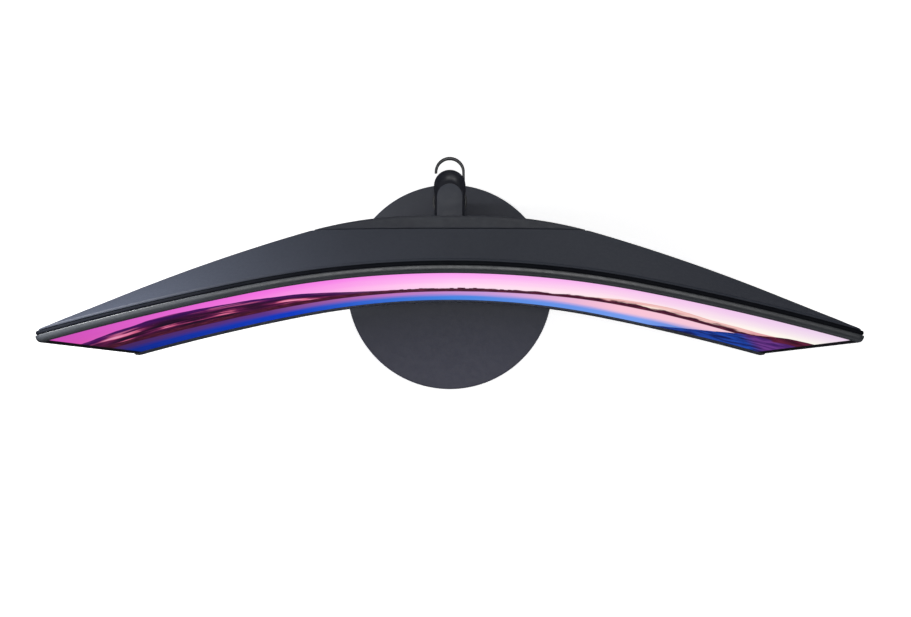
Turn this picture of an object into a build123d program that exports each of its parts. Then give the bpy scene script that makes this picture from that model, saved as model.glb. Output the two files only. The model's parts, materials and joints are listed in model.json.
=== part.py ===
from build123d import *
import os
from math import asin, atan2, cos, degrees, hypot, radians, sin, sqrt, tan

os.makedirs("parts", exist_ok=True)

# A 31.5 inch curved monitor on a round-foot stand. Millimetres, +Z up, -Y is the
# viewer's side, +X the viewer's right. The origin is the centre of the base's underside.

# ---- driving dimensions: curved screen -------------------------------------------------
ACTIVE_WIDTH = 698.4          # along the curve
ACTIVE_HEIGHT = 392.85
SCREEN_TOP = 515.0            # top of the picture above the desk
SCREEN_Y = -22.5              # front of the glass at the middle of the screen
R_MID = 860.0                 # plan radius of the middle of the screen
HALF_MID = 166.0              # half the length of that middle arc
R_END = 2400.0                # plan radius of the two outer stretches

SCREEN_BOTTOM = SCREEN_TOP - ACTIVE_HEIGHT
HEAD_TOP = SCREEN_TOP + 8.0
HEAD_BOTTOM = 103.0
HALF_ARC = 358.0              # half the head's width along the curve
PANEL_HALF = ACTIVE_WIDTH / 2 + 5.6
CHIN_TOP = SCREEN_BOTTOM - 0.5

# depths behind the glass, measured square to the curve
RIM_FRONT = -0.9
CHIN_FRONT = -2.2
RIM_REAR = 5.8
MID_REAR = 9.5
COVER_FRONT = 9.6
COVER_EDGE = 11.6             # where the rear cover's slope starts

# ---- driving dimensions: rim, frame and display stack ----------------------------------
RIM_SIDE = 3.0
RIM_TOP = 2.4
RIM_LIP = 1.4
RIM_FRONT_ROUND = 3.8
RIM_REAR_ROUND = 0.5
CORNER_R = 5.0                # seen from the front
CHIN_ROUND = 0.8
FRAME_INSET = 2.5             # mid frame behind the rim's outline
RIB_INSET = 1.4
RIB_FRONT = 6.6
RIB_REAR = 8.8
FRAME_WINDOW_HALF = 344.0
FRAME_WINDOW_LOW = 13.0
FRAME_WINDOW_HIGH = 15.0
COVER_INSET = 2.5             # rear cover's end behind the rim's outline
COVER_END_SLOPE = 2.2
LENS_R = 1.5
LENS_FLANGE_R = 2.4
LED_X = 250.0
LED_DEPTH = 3.0
SHEET_HALF = 351.0
SHEET_LOW = 117.0
SHEET_HIGH = 518.0
STRIP_HALF = 342.0
LED_PITCH = 28.0
LEDS_EACH_SIDE = 12
TRAY_EDGE_HALF = 352.0

# ---- driving dimensions: rear of the head ----------------------------------------------
REAR_Y = 30.4                 # rearmost flat of the housing
FLAT_HALF = 24.0              # half width of that flat
R_KNEE = 370.0                # plan radius beside the flat
KNEE_ANGLE = radians(16.3)
R_WING = 1659.0               # plan radius further out
WING_ANGLE = radians(22.05)
EDGE_INSET = 1.0              # rear cover edge below the head's top
CREASE_TOP = 484.0
CREASE_BOTTOM = 150.0
WALL = 2.4
SEAM_Y = 17.5                 # parting plane of rear cover and rear housing
SEAM_GAP = 0.8
LEDGE_WALL = 2.0              # thickness of the strip that closes the seam from inside
SLOT_HALF = 17.5              # neck slot
SLOT_TOP = 20.6               # above the arm's axis, room for the tilt
SLOT_BOTTOM = 18.0
SLOT_ROUND = 4.0
SCREW_X = 90.0                # housing screws
SCREW_LOW = 166.0
SCREW_HIGH = 456.0
SCREW_BOSS_R = 4.6
SCREW_WELL_R = 3.4
VENT_PITCH = 9.0
VENT_HALF = 1.5
VENT_LOW = 126.0
VENT_HIGH = 142.0
VENTS_EACH_SIDE = 8

# ---- driving dimensions: stand ---------------------------------------------------------
BASE_R = 122.0
BASE_TOP = 10.0
FOOT_HEIGHT = 1.8
PLATE_BOTTOM = 1.4
PLATE_TOP = 2.6
WEIGHT_TOP = 8.4
RIM_ROUND = 1.4               # base cover's upper edge
POCKET_R = 15.0               # round the connecting screw's head
POCKET_TOP = 6.0
BAIL_Z = 2.7
BAIL_WIRE = 0.8
BAIL_R = 9.0
BASE_SCREW_RING = 70.0
FOOT_R = 9.0
FOOT_RING = 104.0
MIDDLE_FOOT_R = 13.0
POLE_Y = 83.5
POLE_R = 16.0
TUBE_WALL = 2.4
BEND_R = 20.0
ARM_Z = 303.0                 # axis of the horizontal arm and of the tilt hinge
ARM_FRONT = 26.0
ARM_FLAT = 9.3                # height of the arm's flat above its axis
TONGUE_R = 12.6
TONGUE_END = 81.7
HINGE_Y = 12.0
PIN_R = 4.0
PIN_CLEARANCE = 0.05
PIN_FLANGE_R = 7.0
LUG_HALF = 9.0
LUG_R = 8.5
EAR_IN = 11.4
EAR_OUT = 14.4
EAR_R = 10.0
WASHER_R = 8.0
WASHER_GAP = 0.3
STACK_HALF = 17.0             # outer face of the outer washers
NUT_R = 7.5
NUT_WIDTH = 4.0
BLOCK_SCREW_YS = (38.0, 52.0)
BLOCK_SCREW_R = 2.0
BLOCK_HEAD_R = 3.5
BLOCK_HEAD_SEAT = 5.0         # above the arm's axis
PLUG_REAR = 60.0              # rear end of the hinge block's plug
STRIP_THICK = 1.0
STRIP_FRONT = ARM_FRONT + 7.0
M6_R = 3.0                    # connecting screw
M3_R = 1.5
M4_R = 2.0
SCREW_LUG_HALF = 3.0

# ---- driving dimensions: cable clip ----------------------------------------------------
CLIP_Z = 150.0
CLIP_HEIGHT = 8.0
CLIP_BAND = 2.9
HOOK_Y = 116.5
HOOK_R = 16.6
GRIP_CLEARANCE = 0.1
GRIP_HALF_ANGLE = 125.0

# ---- driving dimensions: inside the head -----------------------------------------------
CHASSIS_FRONT = 4.95
CHASSIS_REAR = 5.75
BRACKET_FRONT = -16.6
BRACKET_REAR = -14.1
BRACKET_HALF = 50.0
BRACKET_ROUND = 6.0
BRACKET_SCREW_X = 25.0
BRACKET_SCREW_Z = 42.0
BRACKET_HEAD_R = 3.8
BRACKET_HEAD = 2.4
EAR_ROOT_HALF = 22.0          # half height of an ear where it leaves the plate
VESA_BOSS_R = 5.5
VESA_THREAD = 14.0
VESA = 75.0
VESA_HOLE_R = 2.0
BOARD_FRONT = 1.0
BOARD_REAR = 2.6
BOARD_LOW = 168.0
BOARD_HIGH = 245.0
BOARD_HALF = 82.0
BOARD_SCREW_X = 76.0
BOARD_HEAD_R = 2.9
STANDOFF_R = 3.2
CHIPS = (                     # x from, x to, z from, z to, height
    (-34.0, -10.0, 216.0, 240.0, 1.6),
    (4.0, 18.0, 222.0, 232.0, 1.2),
    (28.0, 44.0, 218.0, 234.0, 5.0),
)
SHIELD_HALF = 64.0
SHIELD_LOW = 215.5
SHIELD_HIGH = 243.0
SHIELD_REAR = 13.5
SHIELD_WALL = 0.6
DRIVER_FRONT = 6.3            # panel driver board, depths behind the glass
DRIVER_REAR = 7.7
DRIVER_HALF = 150.0
DRIVER_LOW = 121.0
DRIVER_HIGH = 148.0
PLUG_LOW = 172.0              # flat cable's connector on the main board
PLUG_HIGH = 177.0
CABLE_LEFT = -69.0
CABLE_WIDTH = 40.0
PORT_Z = 198.0
TRAY_FLOOR = 18.0
TRAY_HALF = 72.0
TRAY_HEIGHT = 31.0
TRAY_WALL = 1.5
SOCKET_END = 20.8
HDMI_X = -52.0
DP_X = -25.0
VGA_X = 12.0
AUDIO_X = 42.0
DC_X = 59.0
JACK_BORE_R = 1.8
HDMI_SIZE = (15.0, 6.0)
DP_SIZE = (17.2, 6.0)
VGA_SIZE = (32.0, 13.0)
DC_SIZE = (11.0, 11.0)
PORT_CLEARANCE = 0.2

# ---- driving dimensions: joystick at the rear ------------------------------------------
JOG_X = 205.0
JOG_Z = 172.0
JOG_WELL_R = 9.4
JOG_PIVOT = -8.0              # depth of both joystick pivots below the cover's face
TRUNNION_R = 0.8
JOG_CUP_R = 11.0
JOG_CUP_DEEP = 15.0
JOG_FLOOR = 13.0
JOG_FLANGE_R = 12.6
JOG_FLANGE_FRONT = 0.35
JOG_FLANGE_REAR = 1.1
GIMBAL_R = 8.8
GIMBAL_BORE_R = 5.6
GIMBAL_HALF = 1.6
STEM_R = 2.0
STEM_HUB_R = 3.6
STEM_LOW = 3.4                # below the pivots
STEM_TOP = 1.0
CAP_R = 6.8
CAP_LOW = -1.6
CAP_TOP = 4.2
CAP_ROUND = 1.4
CAP_SLEEVE_R = 3.4
CAP_SLEEVE_LOW = -4.4
CAP_BORE_TOP = 1.9
DISH_R = 20.4                 # hollow of the cap's top
DISH_HIGH = 24.0
SWITCH_TOP = -15.1


# ---- plan curve of the screen ----------------------------------------------------------
MID_ANGLE = HALF_MID / R_MID
MID_CENTRE_Y = SCREEN_Y - R_MID
END_CENTRE_X = (R_MID - R_END) * sin(MID_ANGLE)
END_CENTRE_Y = MID_CENTRE_Y + (R_MID - R_END) * cos(MID_ANGLE)


def plan_point(s, depth):
    """Point at arc length s from the middle of the screen, depth behind the glass."""
    side = 1 if s >= 0 else -1
    if abs(s) <= HALF_MID:
        angle = abs(s) / R_MID
        radius = R_MID + depth
        return (side * radius * sin(angle), MID_CENTRE_Y + radius * cos(angle))
    angle = MID_ANGLE + (abs(s) - HALF_MID) / R_END
    radius = R_END + depth
    return (side * (END_CENTRE_X + radius * sin(angle)), END_CENTRE_Y + radius * cos(angle))


def plan_depth(x, y):
    """Depth behind the glass of a plan point."""
    if atan2(abs(x), y - MID_CENTRE_Y) <= MID_ANGLE:
        return hypot(x, y - MID_CENTRE_Y) - R_MID
    return hypot(abs(x) - END_CENTRE_X, y - END_CENTRE_Y) - R_END


def curve_y(x, depth):
    """Y of the curve at this depth behind the glass, at a given X."""
    radius = R_MID + depth
    if abs(x) <= radius * sin(MID_ANGLE):
        return MID_CENTRE_Y + sqrt(radius ** 2 - x ** 2)
    return END_CENTRE_Y + sqrt((R_END + depth) ** 2 - (abs(x) - END_CENTRE_X) ** 2)


def plan_edges(depth, start, end):
    """Arcs that follow the curve from arc length start to end."""
    inner = [b for b in (-HALF_MID, HALF_MID) if min(start, end) < b < max(start, end)]
    if end < start:
        inner.reverse()
    stops = [start] + inner + [end]
    return [
        ThreePointArc(plan_point(a, depth), plan_point((a + b) / 2, depth), plan_point(b, depth))
        for a, b in zip(stops, stops[1:])
    ]


def layer(front, rear, half_arc, z_low, z_high):
    """Curved slab between two depths behind the glass."""
    edges = plan_edges(front, -half_arc, half_arc)
    edges.append(Line(plan_point(half_arc, front), plan_point(half_arc, rear)))
    edges += plan_edges(rear, half_arc, -half_arc)
    edges.append(Line(plan_point(-half_arc, rear), plan_point(-half_arc, front)))
    face = make_face(edges)
    return Pos(0, 0, z_low) * extrude(face, amount=z_high - z_low, dir=(0, 0, 1))


def edges_at_depth(solid, depth, above):
    """Edges of a slab that lie at one depth, higher than a level."""
    def lies(vertex):
        return abs(plan_depth(vertex.X, vertex.Y) - depth) < 0.01
    return [
        edge for edge in solid.edges()
        if all(lies(v) for v in edge.vertices()) and edge.center().Z > above
    ]


def corner_edges(solid, z, length):
    """Straight through-thickness edges of a slab at one level."""
    return [
        edge for edge in solid.edges()
        if abs(edge.length - length) < 0.02 and abs(edge.center().Z - z) < 0.02
    ]


LED_Y = curve_y(LED_X, LED_DEPTH)


# ---- small helpers ---------------------------------------------------------------------
def block(x0, x1, y0, y1, z0, z1):
    return Pos((x0 + x1) / 2, (y0 + y1) / 2, (z0 + z1) / 2) * Box(x1 - x0, y1 - y0, z1 - z0)


def rod(radius, start, end):
    """Cylinder between two points."""
    axis = Vector(*end) - Vector(*start)
    return Part(Solid.make_cylinder(radius, axis.length, Plane(origin=start, z_dir=axis)).wrapped)


def ring(outer, inner, start, end):
    return rod(outer, start, end) - rod(inner, start, end)


def write(name, shape):
    solids = shape.solids()
    whole = solids[0] if len(solids) == 1 else Compound(solids)
    export_step(whole, f"parts/{name}.step")


def group(shapes):
    """Separate solids that share one node."""
    return Compound([solid for shape in shapes for solid in shape.solids()])


# ---- front of the head -----------------------------------------------------------------
def front_rim():
    """Rounded rim round the top and sides, with a lip over the glass's edge."""
    rim = layer(RIM_FRONT, RIM_REAR, HALF_ARC, CHIN_TOP + 0.2, HEAD_TOP)
    rim = fillet(corner_edges(rim, HEAD_TOP, RIM_REAR - RIM_FRONT), CORNER_R)
    rim = fillet(edges_at_depth(rim, RIM_FRONT, CHIN_TOP + 1), RIM_FRONT_ROUND)
    rim = fillet(edges_at_depth(rim, RIM_REAR, CHIN_TOP + 1), RIM_REAR_ROUND)
    rim -= layer(-0.1, RIM_REAR + 0.1, HALF_ARC - RIM_SIDE, CHIN_TOP - 1, HEAD_TOP - RIM_TOP)
    lip_half = HALF_ARC - RIM_SIDE - RIM_LIP
    rim -= layer(RIM_FRONT - 1, 0, lip_half, CHIN_TOP - 1, HEAD_TOP - RIM_TOP - RIM_LIP)
    return rim


def bottom_chin():
    """Bar below the picture, standing proud of the glass, hollow behind."""
    chin = layer(CHIN_FRONT, RIM_REAR, HALF_ARC, HEAD_BOTTOM, CHIN_TOP)
    chin = fillet(edges_at_depth(chin, CHIN_FRONT, HEAD_BOTTOM - 1), CHIN_ROUND)
    chin -= layer(-0.1, RIM_REAR + 0.1, HALF_ARC - RIM_SIDE, HEAD_BOTTOM + RIM_TOP, CHIN_TOP + 1)
    chin -= rod(LENS_R + 0.1, (LED_X, LED_Y, HEAD_BOTTOM - 1), (LED_X, LED_Y, HEAD_BOTTOM + 5))
    return chin


def power_led_lens():
    """Clear pin that carries the power light through the chin's underside."""
    pin = rod(LENS_R, (LED_X, LED_Y, HEAD_BOTTOM - 0.3), (LED_X, LED_Y, HEAD_BOTTOM + 6))
    flange_z = HEAD_BOTTOM + RIM_TOP + 0.1
    return pin + rod(LENS_FLANGE_R, (LED_X, LED_Y, flange_z), (LED_X, LED_Y, flange_z + 1.5))


def mid_frame():
    """Ring behind the rim; its narrow rib shows between two shadow gaps."""
    def ring_layer(front, rear, inset):
        half = HALF_ARC - inset
        slab = layer(front, rear, half, HEAD_BOTTOM + inset, HEAD_TOP - inset)
        corners = corner_edges(slab, HEAD_TOP - inset, rear - front)
        return fillet(corners, CORNER_R - inset)
    frame = ring_layer(RIM_REAR + 0.15, MID_REAR, FRAME_INSET)
    frame += ring_layer(RIB_FRONT, RIB_REAR, RIB_INSET)
    low = HEAD_BOTTOM + FRAME_WINDOW_LOW
    high = HEAD_TOP - FRAME_WINDOW_HIGH
    frame -= layer(RIM_REAR - 1, MID_REAR + 1, FRAME_WINDOW_HALF, low, high)
    return frame


# ---- display stack ---------------------------------------------------------------------
def lcd_panel():
    return layer(0, 1.4, PANEL_HALF, SCREEN_BOTTOM - 6.5, SCREEN_TOP + 5.4)


def optical_sheet(front, rear):
    return layer(front, rear, SHEET_HALF, SHEET_LOW, SHEET_HIGH)


def led_strip():
    """Narrow circuit strip with light sources facing up into the light guide."""
    strip = layer(2.5, 4.4, STRIP_HALF, 113.6, 114.6)
    for i in range(-LEDS_EACH_SIDE, LEDS_EACH_SIDE + 1):
        s = i * LED_PITCH
        x, y = plan_point(s, 3.45)
        turn = -degrees(atan2(s, R_MID + abs(s)))
        strip += Pos(x, y, 115.5) * Rot(0, 0, turn) * Box(5.0, 1.2, 2.0)
    return strip


def back_chassis():
    """Steel tray that carries the light guide, boards and hinge bracket."""
    tray = layer(CHASSIS_FRONT, CHASSIS_REAR, TRAY_EDGE_HALF, 112.0, 519.5)
    tray += layer(1.9, CHASSIS_REAR, TRAY_EDGE_HALF, 111.4, 112.2)
    for x, z in housing_screw_places():
        tray -= rod(M3_R, (x, -40, z), (x, 0, z))
    for x, z in bracket_screw_places():
        tray -= rod(M4_R, (x, -40, z), (x, 0, z))
    return tray


# ---- rear cover and housing ------------------------------------------------------------
KNEE_X = FLAT_HALF + R_KNEE * sin(KNEE_ANGLE)
KNEE_Y = REAR_Y - R_KNEE * (1 - cos(KNEE_ANGLE))
WING_CENTRE_X = KNEE_X - R_WING * sin(KNEE_ANGLE)
WING_CENTRE_Y = KNEE_Y - R_WING * cos(KNEE_ANGLE)
WING_X = WING_CENTRE_X + R_WING * sin(WING_ANGLE)
WING_Y = WING_CENTRE_Y + R_WING * cos(WING_ANGLE)
MID_EDGE_X = (R_MID + COVER_EDGE) * sin(MID_ANGLE)


def full_depth(x):
    """Rear outline in plan: flat middle, two arcs, then a straight run to the edge."""
    x = abs(x)
    if x <= FLAT_HALF:
        return REAR_Y
    if x <= KNEE_X:
        return REAR_Y - R_KNEE + sqrt(R_KNEE ** 2 - (x - FLAT_HALF) ** 2)
    if x <= WING_X:
        return WING_CENTRE_Y + sqrt(R_WING ** 2 - (x - WING_CENTRE_X) ** 2)
    return WING_Y - (x - WING_X) * tan(WING_ANGLE)


def rear_y(x, fullness, inset):
    """Rear outline between the thin edge (fullness 0) and full depth (fullness 1)."""
    thin = curve_y(x, COVER_EDGE)
    return thin + fullness * (full_depth(x) - thin) - inset


def section(z, fullness, front, half_arc, inset):
    """One level of the rear form as a face."""
    corner = plan_point(half_arc, front)
    end_x = plan_point(half_arc - COVER_END_SLOPE, COVER_EDGE)[0]
    stops = [end_x, WING_X, (WING_X + MID_EDGE_X) / 2, MID_EDGE_X, KNEE_X, KNEE_X / 2, FLAT_HALF]
    stops += [-x for x in reversed(stops)]
    places = [(x, rear_y(x, fullness, inset)) for x in stops]
    edges = plan_edges(front, -half_arc, half_arc)
    edges.append(Line(corner, places[0]))
    for (xa, ya), (xb, yb) in zip(places, places[1:]):
        xm = (xa + xb) / 2
        ym = rear_y(xm, fullness, inset)
        if abs(ym - (ya + yb) / 2) < 0.005:
            edges.append(Line((xa, ya), (xb, yb)))
        else:
            edges.append(ThreePointArc((xa, ya), (xm, ym), (xb, yb)))
    edges.append(Line(places[-1], (-corner[0], corner[1])))
    return Pos(0, 0, z) * make_face(edges)


def rear_form(wall):
    """Closed form of the head's rear, shrunk by a wall thickness."""
    front = COVER_FRONT - (0.6 if wall else 0)
    half_arc = HALF_ARC - COVER_INSET - 4 * wall
    top = HEAD_TOP - EDGE_INSET
    bottom = HEAD_BOTTOM + EDGE_INSET
    lift = 2.5 * wall
    top_fullness = lift / (top - CREASE_TOP)
    bottom_fullness = lift / (CREASE_BOTTOM - bottom)
    sections = [
        section(bottom + lift, bottom_fullness, front, half_arc, 1.33 * wall),
        section(CREASE_BOTTOM + wall / 4, 1, front, half_arc, 1.04 * wall),
        section(CREASE_TOP - wall / 4, 1, front, half_arc, 1.04 * wall),
        section(top - lift, top_fullness, front, half_arc, 1.33 * wall),
    ]
    return loft(sections, ruled=True)


def between(shape, y0, y1):
    return shape & block(-420, 420, y0, y1, 90, 540)


def rear_cover(outer, inner):
    """Textured shell with a window for the housing and a ledge behind the seam."""
    seam = SEAM_Y - SEAM_GAP / 2
    cover = between(outer - inner, -200, seam)
    ledge_face = Pos(0, -LEDGE_WALL, 0) * inner
    ledge = between(Pos(0, 0.1, 0) * inner - ledge_face, seam - 5, seam)
    ledge += between(Pos(0, -0.2, 0) * inner - ledge_face, seam - 0.2, seam + SEAM_GAP + 0.6)
    cover += ledge
    cover -= jog_place() * rod(11.1, (0, 0, -30), (0, 0, 10))
    return cover


def housing_screw_places():
    return [(x, z) for x in (-SCREW_X, SCREW_X) for z in (SCREW_LOW, SCREW_HIGH)]


def rear_housing(outer, inner):
    """Smooth central housing: neck slot, VESA holes, port window, vents, screw wells."""
    housing = between(outer - inner, SEAM_Y + SEAM_GAP / 2, 60)
    outline = Plane.XZ * RectangleRounded(2 * SLOT_HALF, SLOT_TOP + SLOT_BOTTOM, SLOT_ROUND)
    slot = extrude(outline, amount=60, both=True)
    slot_z = ARM_Z + (SLOT_TOP - SLOT_BOTTOM) / 2
    housing -= between(Pos(0, 0, slot_z) * slot, REAR_Y - 12, 60)
    for x, z in vesa_places():
        housing -= rod(VESA_HOLE_R, (x, 10, z), (x, 60, z))
    half = TRAY_HEIGHT / 2
    housing -= block(-TRAY_HALF, TRAY_HALF, 10, 60, PORT_Z - half, PORT_Z + half)
    for x, z in housing_screw_places():
        housing += (ring(SCREW_BOSS_R, 1.6, (x, -6, z), (x, 29, z)) & inner)
        housing -= rod(SCREW_WELL_R, (x, 12, z), (x, 40, z))
    for i in range(-VENTS_EACH_SIDE, VENTS_EACH_SIDE + 1):
        x = i * VENT_PITCH
        housing -= block(x - VENT_HALF, x + VENT_HALF, SEAM_Y + 4, 60, VENT_LOW, VENT_HIGH)
    return housing


def housing_screws():
    screws = []
    for x, z in housing_screw_places():
        tip = curve_y(x, CHASSIS_FRONT)
        shaft = rod(1.5, (x, tip + 0.4, z), (x, 12, z))
        head = rod(3.0, (x, 12, z), (x, 14.2, z)) - block(x - 2, x + 2, 13.2, 15, z - 0.4, z + 0.4)
        screws.append(shaft + head)
    return group(screws)


# ---- hinge bracket and VESA bosses, on the head ----------------------------------------
def vesa_places():
    return [(x, ARM_Z + z) for x in (-VESA / 2, VESA / 2) for z in (-VESA / 2, VESA / 2)]


def bracket_screw_places():
    xs = (-BRACKET_SCREW_X, BRACKET_SCREW_X)
    return [(x, ARM_Z + z) for x in xs for z in (-BRACKET_SCREW_Z, BRACKET_SCREW_Z)]


def hinge_bracket():
    """Steel plate with two ears that carry the tilt pin."""
    plate = block(-BRACKET_HALF, BRACKET_HALF, BRACKET_FRONT, BRACKET_REAR,
                  ARM_Z - BRACKET_HALF, ARM_Z + BRACKET_HALF)
    plate = fillet(plate.edges().filter_by(Axis.Y), BRACKET_ROUND)
    for side in (-1, 1):
        profile = Polyline(
            (BRACKET_REAR - 0.5, ARM_Z - EAR_ROOT_HALF), (HINGE_Y, ARM_Z - EAR_R),
            (HINGE_Y, ARM_Z + EAR_R), (BRACKET_REAR - 0.5, ARM_Z + EAR_ROOT_HALF), close=True)
        thick = EAR_OUT - EAR_IN
        ear = extrude(make_face(Plane.YZ * profile), amount=thick, dir=(1, 0, 0))
        ear = Pos(EAR_IN if side > 0 else -EAR_OUT, 0, 0) * ear
        ear += rod(EAR_R, (side * EAR_IN, HINGE_Y, ARM_Z), (side * EAR_OUT, HINGE_Y, ARM_Z))
        plate += ear
    bore = PIN_R + PIN_CLEARANCE
    plate -= rod(bore, (-20, HINGE_Y, ARM_Z), (20, HINGE_Y, ARM_Z))
    for x, z in bracket_screw_places():
        plate -= rod(M4_R, (x, -30, z), (x, 0, z))
    return plate


def bracket_screws():
    screws = []
    for x, z in bracket_screw_places():
        shaft = rod(M4_R, (x, curve_y(x, CHASSIS_FRONT) + 0.3, z), (x, BRACKET_REAR, z))
        head = rod(BRACKET_HEAD_R, (x, BRACKET_REAR, z), (x, BRACKET_REAR + BRACKET_HEAD, z))
        slot = block(x - 3, x + 3, BRACKET_REAR + BRACKET_HEAD - 1, 0, z - 0.5, z + 0.5)
        screws.append(shaft + head - slot)
    return group(screws)


def vesa_bosses():
    """Threaded steel standoffs that carry the VESA load to the bracket plate."""
    bosses = []
    rear = REAR_Y - 1.04 * WALL - 0.7
    for x, z in vesa_places():
        boss = rod(VESA_BOSS_R, (x, BRACKET_REAR, z), (x, rear, z))
        bosses.append(boss - rod(VESA_HOLE_R, (x, rear - VESA_THREAD, z), (x, rear + 1, z)))
    return group(bosses)


# ---- electronics -----------------------------------------------------------------------
def board_screw_places():
    return [(x, z) for x in (-BOARD_SCREW_X, BOARD_SCREW_X) for z in (BOARD_LOW + 10, BOARD_HIGH - 6)]


def main_board():
    """Scaler and interface board with its large chips."""
    board = block(-BOARD_HALF, BOARD_HALF, BOARD_FRONT, BOARD_REAR, BOARD_LOW, BOARD_HIGH)
    for x0, x1, z0, z1, height in CHIPS:
        board += block(x0, x1, BOARD_REAR - 0.2, BOARD_REAR + height, z0, z1)
    board += block(CABLE_LEFT - 2, CABLE_LEFT + CABLE_WIDTH + 2,
                   BOARD_FRONT - 3.0, BOARD_FRONT + 0.2, PLUG_LOW, PLUG_HIGH)
    for x, z in board_screw_places():
        board -= rod(1.6, (x, -10, z), (x, 10, z))
    return board


def board_standoffs():
    posts = []
    for x, z in board_screw_places():
        foot = curve_y(abs(x) - STANDOFF_R, CHASSIS_REAR) + 0.02
        posts.append(ring(STANDOFF_R, M3_R, (x, foot, z), (x, BOARD_FRONT, z)))
    return group(posts)


def board_screws():
    screws = []
    for x, z in board_screw_places():
        shaft = rod(M3_R, (x, BOARD_FRONT - 8, z), (x, BOARD_REAR, z))
        screws.append(shaft + rod(BOARD_HEAD_R, (x, BOARD_REAR, z), (x, BOARD_REAR + 1.8, z)))
    return group(screws)


def board_shield():
    """Folded steel can over the chips."""
    can = block(-SHIELD_HALF, SHIELD_HALF, BOARD_REAR, SHIELD_REAR, SHIELD_LOW, SHIELD_HIGH)
    half = SHIELD_HALF - SHIELD_WALL
    return can - block(-half, half, BOARD_REAR - 1, SHIELD_REAR - SHIELD_WALL,
                       SHIELD_LOW - 2.5, SHIELD_HIGH - SHIELD_WALL)


def port_panel(inner):
    """Recessed tray in the housing that the sockets look out of."""
    half = TRAY_HEIGHT / 2
    outer_x = TRAY_HALF + TRAY_WALL
    outer_z = half + TRAY_WALL
    tray = block(-outer_x, outer_x, TRAY_FLOOR, 40, PORT_Z - outer_z, PORT_Z + outer_z)
    tray = tray & (Pos(0, -0.2, 0) * inner)
    tray -= block(-TRAY_HALF, TRAY_HALF, TRAY_FLOOR + 2, 40, PORT_Z - half, PORT_Z + half)
    for x, size in ((HDMI_X, HDMI_SIZE), (DP_X, DP_SIZE), (VGA_X, VGA_SIZE), (DC_X, DC_SIZE)):
        half_x = size[0] / 2 + PORT_CLEARANCE
        half_z = size[1] / 2 + PORT_CLEARANCE
        tray -= block(x - half_x, x + half_x, 10, 30, PORT_Z - half_z, PORT_Z + half_z)
    tray -= rod(4.2, (AUDIO_X, 10, PORT_Z), (AUDIO_X, 30, PORT_Z))
    return tray


def plug_socket(x, width, height, wall, tongue_width, tongue_height):
    """Pressed metal socket shell with its contact tongue."""
    shell = block(x - width / 2, x + width / 2, BOARD_REAR, SOCKET_END,
                  PORT_Z - height / 2, PORT_Z + height / 2)
    shell = fillet(shell.edges().filter_by(Axis.Y), 1.0)
    shell -= block(x - width / 2 + wall, x + width / 2 - wall, SOCKET_END - 11, SOCKET_END + 1,
                   PORT_Z - height / 2 + wall, PORT_Z + height / 2 - wall)
    tongue = block(x - tongue_width / 2, x + tongue_width / 2, SOCKET_END - 12, SOCKET_END - 1.5,
                   PORT_Z - tongue_height / 2, PORT_Z + tongue_height / 2)
    return shell + tongue


def vga_socket():
    """D-shaped socket on a flange with two hexagonal jack posts."""
    body = block(VGA_X - 15.8, VGA_X + 15.8, BOARD_REAR, SOCKET_END - 1.5, PORT_Z - 6.3, PORT_Z + 6.3)
    outline = Polyline((VGA_X - 8.6, PORT_Z + 4.1), (VGA_X + 8.6, PORT_Z + 4.1),
                       (VGA_X + 7.4, PORT_Z - 4.1), (VGA_X - 7.4, PORT_Z - 4.1), close=True)
    face = make_face(Plane.XZ * outline)
    shell = extrude(face, amount=6, dir=(0, 1, 0))
    shell = fillet(shell.edges().filter_by(Axis.Y), 1.6)
    hollow = offset(face, amount=-0.6)
    cavity = extrude(hollow, amount=5.2, dir=(0, 1, 0))
    socket = body + Pos(0, SOCKET_END - 2, 0) * shell
    socket -= Pos(0, SOCKET_END - 1, 0) * cavity
    socket += block(VGA_X - 6.4, VGA_X + 6.4, SOCKET_END - 2, SOCKET_END + 2.6, PORT_Z - 2, PORT_Z + 2)
    for side in (-1, 1):
        x = VGA_X + side * 12.5
        post = Plane((x, SOCKET_END - 1.6, PORT_Z), z_dir=(0, 1, 0)) * RegularPolygon(2.7, 6)
        socket += extrude(post, amount=4.6, dir=(0, 1, 0))
        socket -= rod(1.2, (x, SOCKET_END - 4, PORT_Z), (x, SOCKET_END + 5, PORT_Z))
    return socket


def audio_jack():
    body = block(AUDIO_X - 6, AUDIO_X + 6, BOARD_REAR, TRAY_FLOOR - 0.3, PORT_Z - 5, PORT_Z + 5)
    body += rod(4.0, (AUDIO_X, TRAY_FLOOR - 1, PORT_Z), (AUDIO_X, SOCKET_END, PORT_Z))
    return body - rod(JACK_BORE_R, (AUDIO_X, SOCKET_END - 14, PORT_Z), (AUDIO_X, SOCKET_END + 1, PORT_Z))


def dc_inlet():
    """Barrel power socket with its centre pin."""
    body = block(DC_X - 5.5, DC_X + 5.5, BOARD_REAR, SOCKET_END, PORT_Z - 5.5, PORT_Z + 5.5)
    body = fillet(body.edges().filter_by(Axis.Y), 1.0)
    body -= rod(3.2, (DC_X, SOCKET_END - 10, PORT_Z), (DC_X, SOCKET_END + 1, PORT_Z))
    return body + rod(1.0, (DC_X, SOCKET_END - 11, PORT_Z), (DC_X, SOCKET_END - 1, PORT_Z))


def panel_driver_board():
    return layer(DRIVER_FRONT, DRIVER_REAR, DRIVER_HALF, DRIVER_LOW, DRIVER_HIGH)


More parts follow.
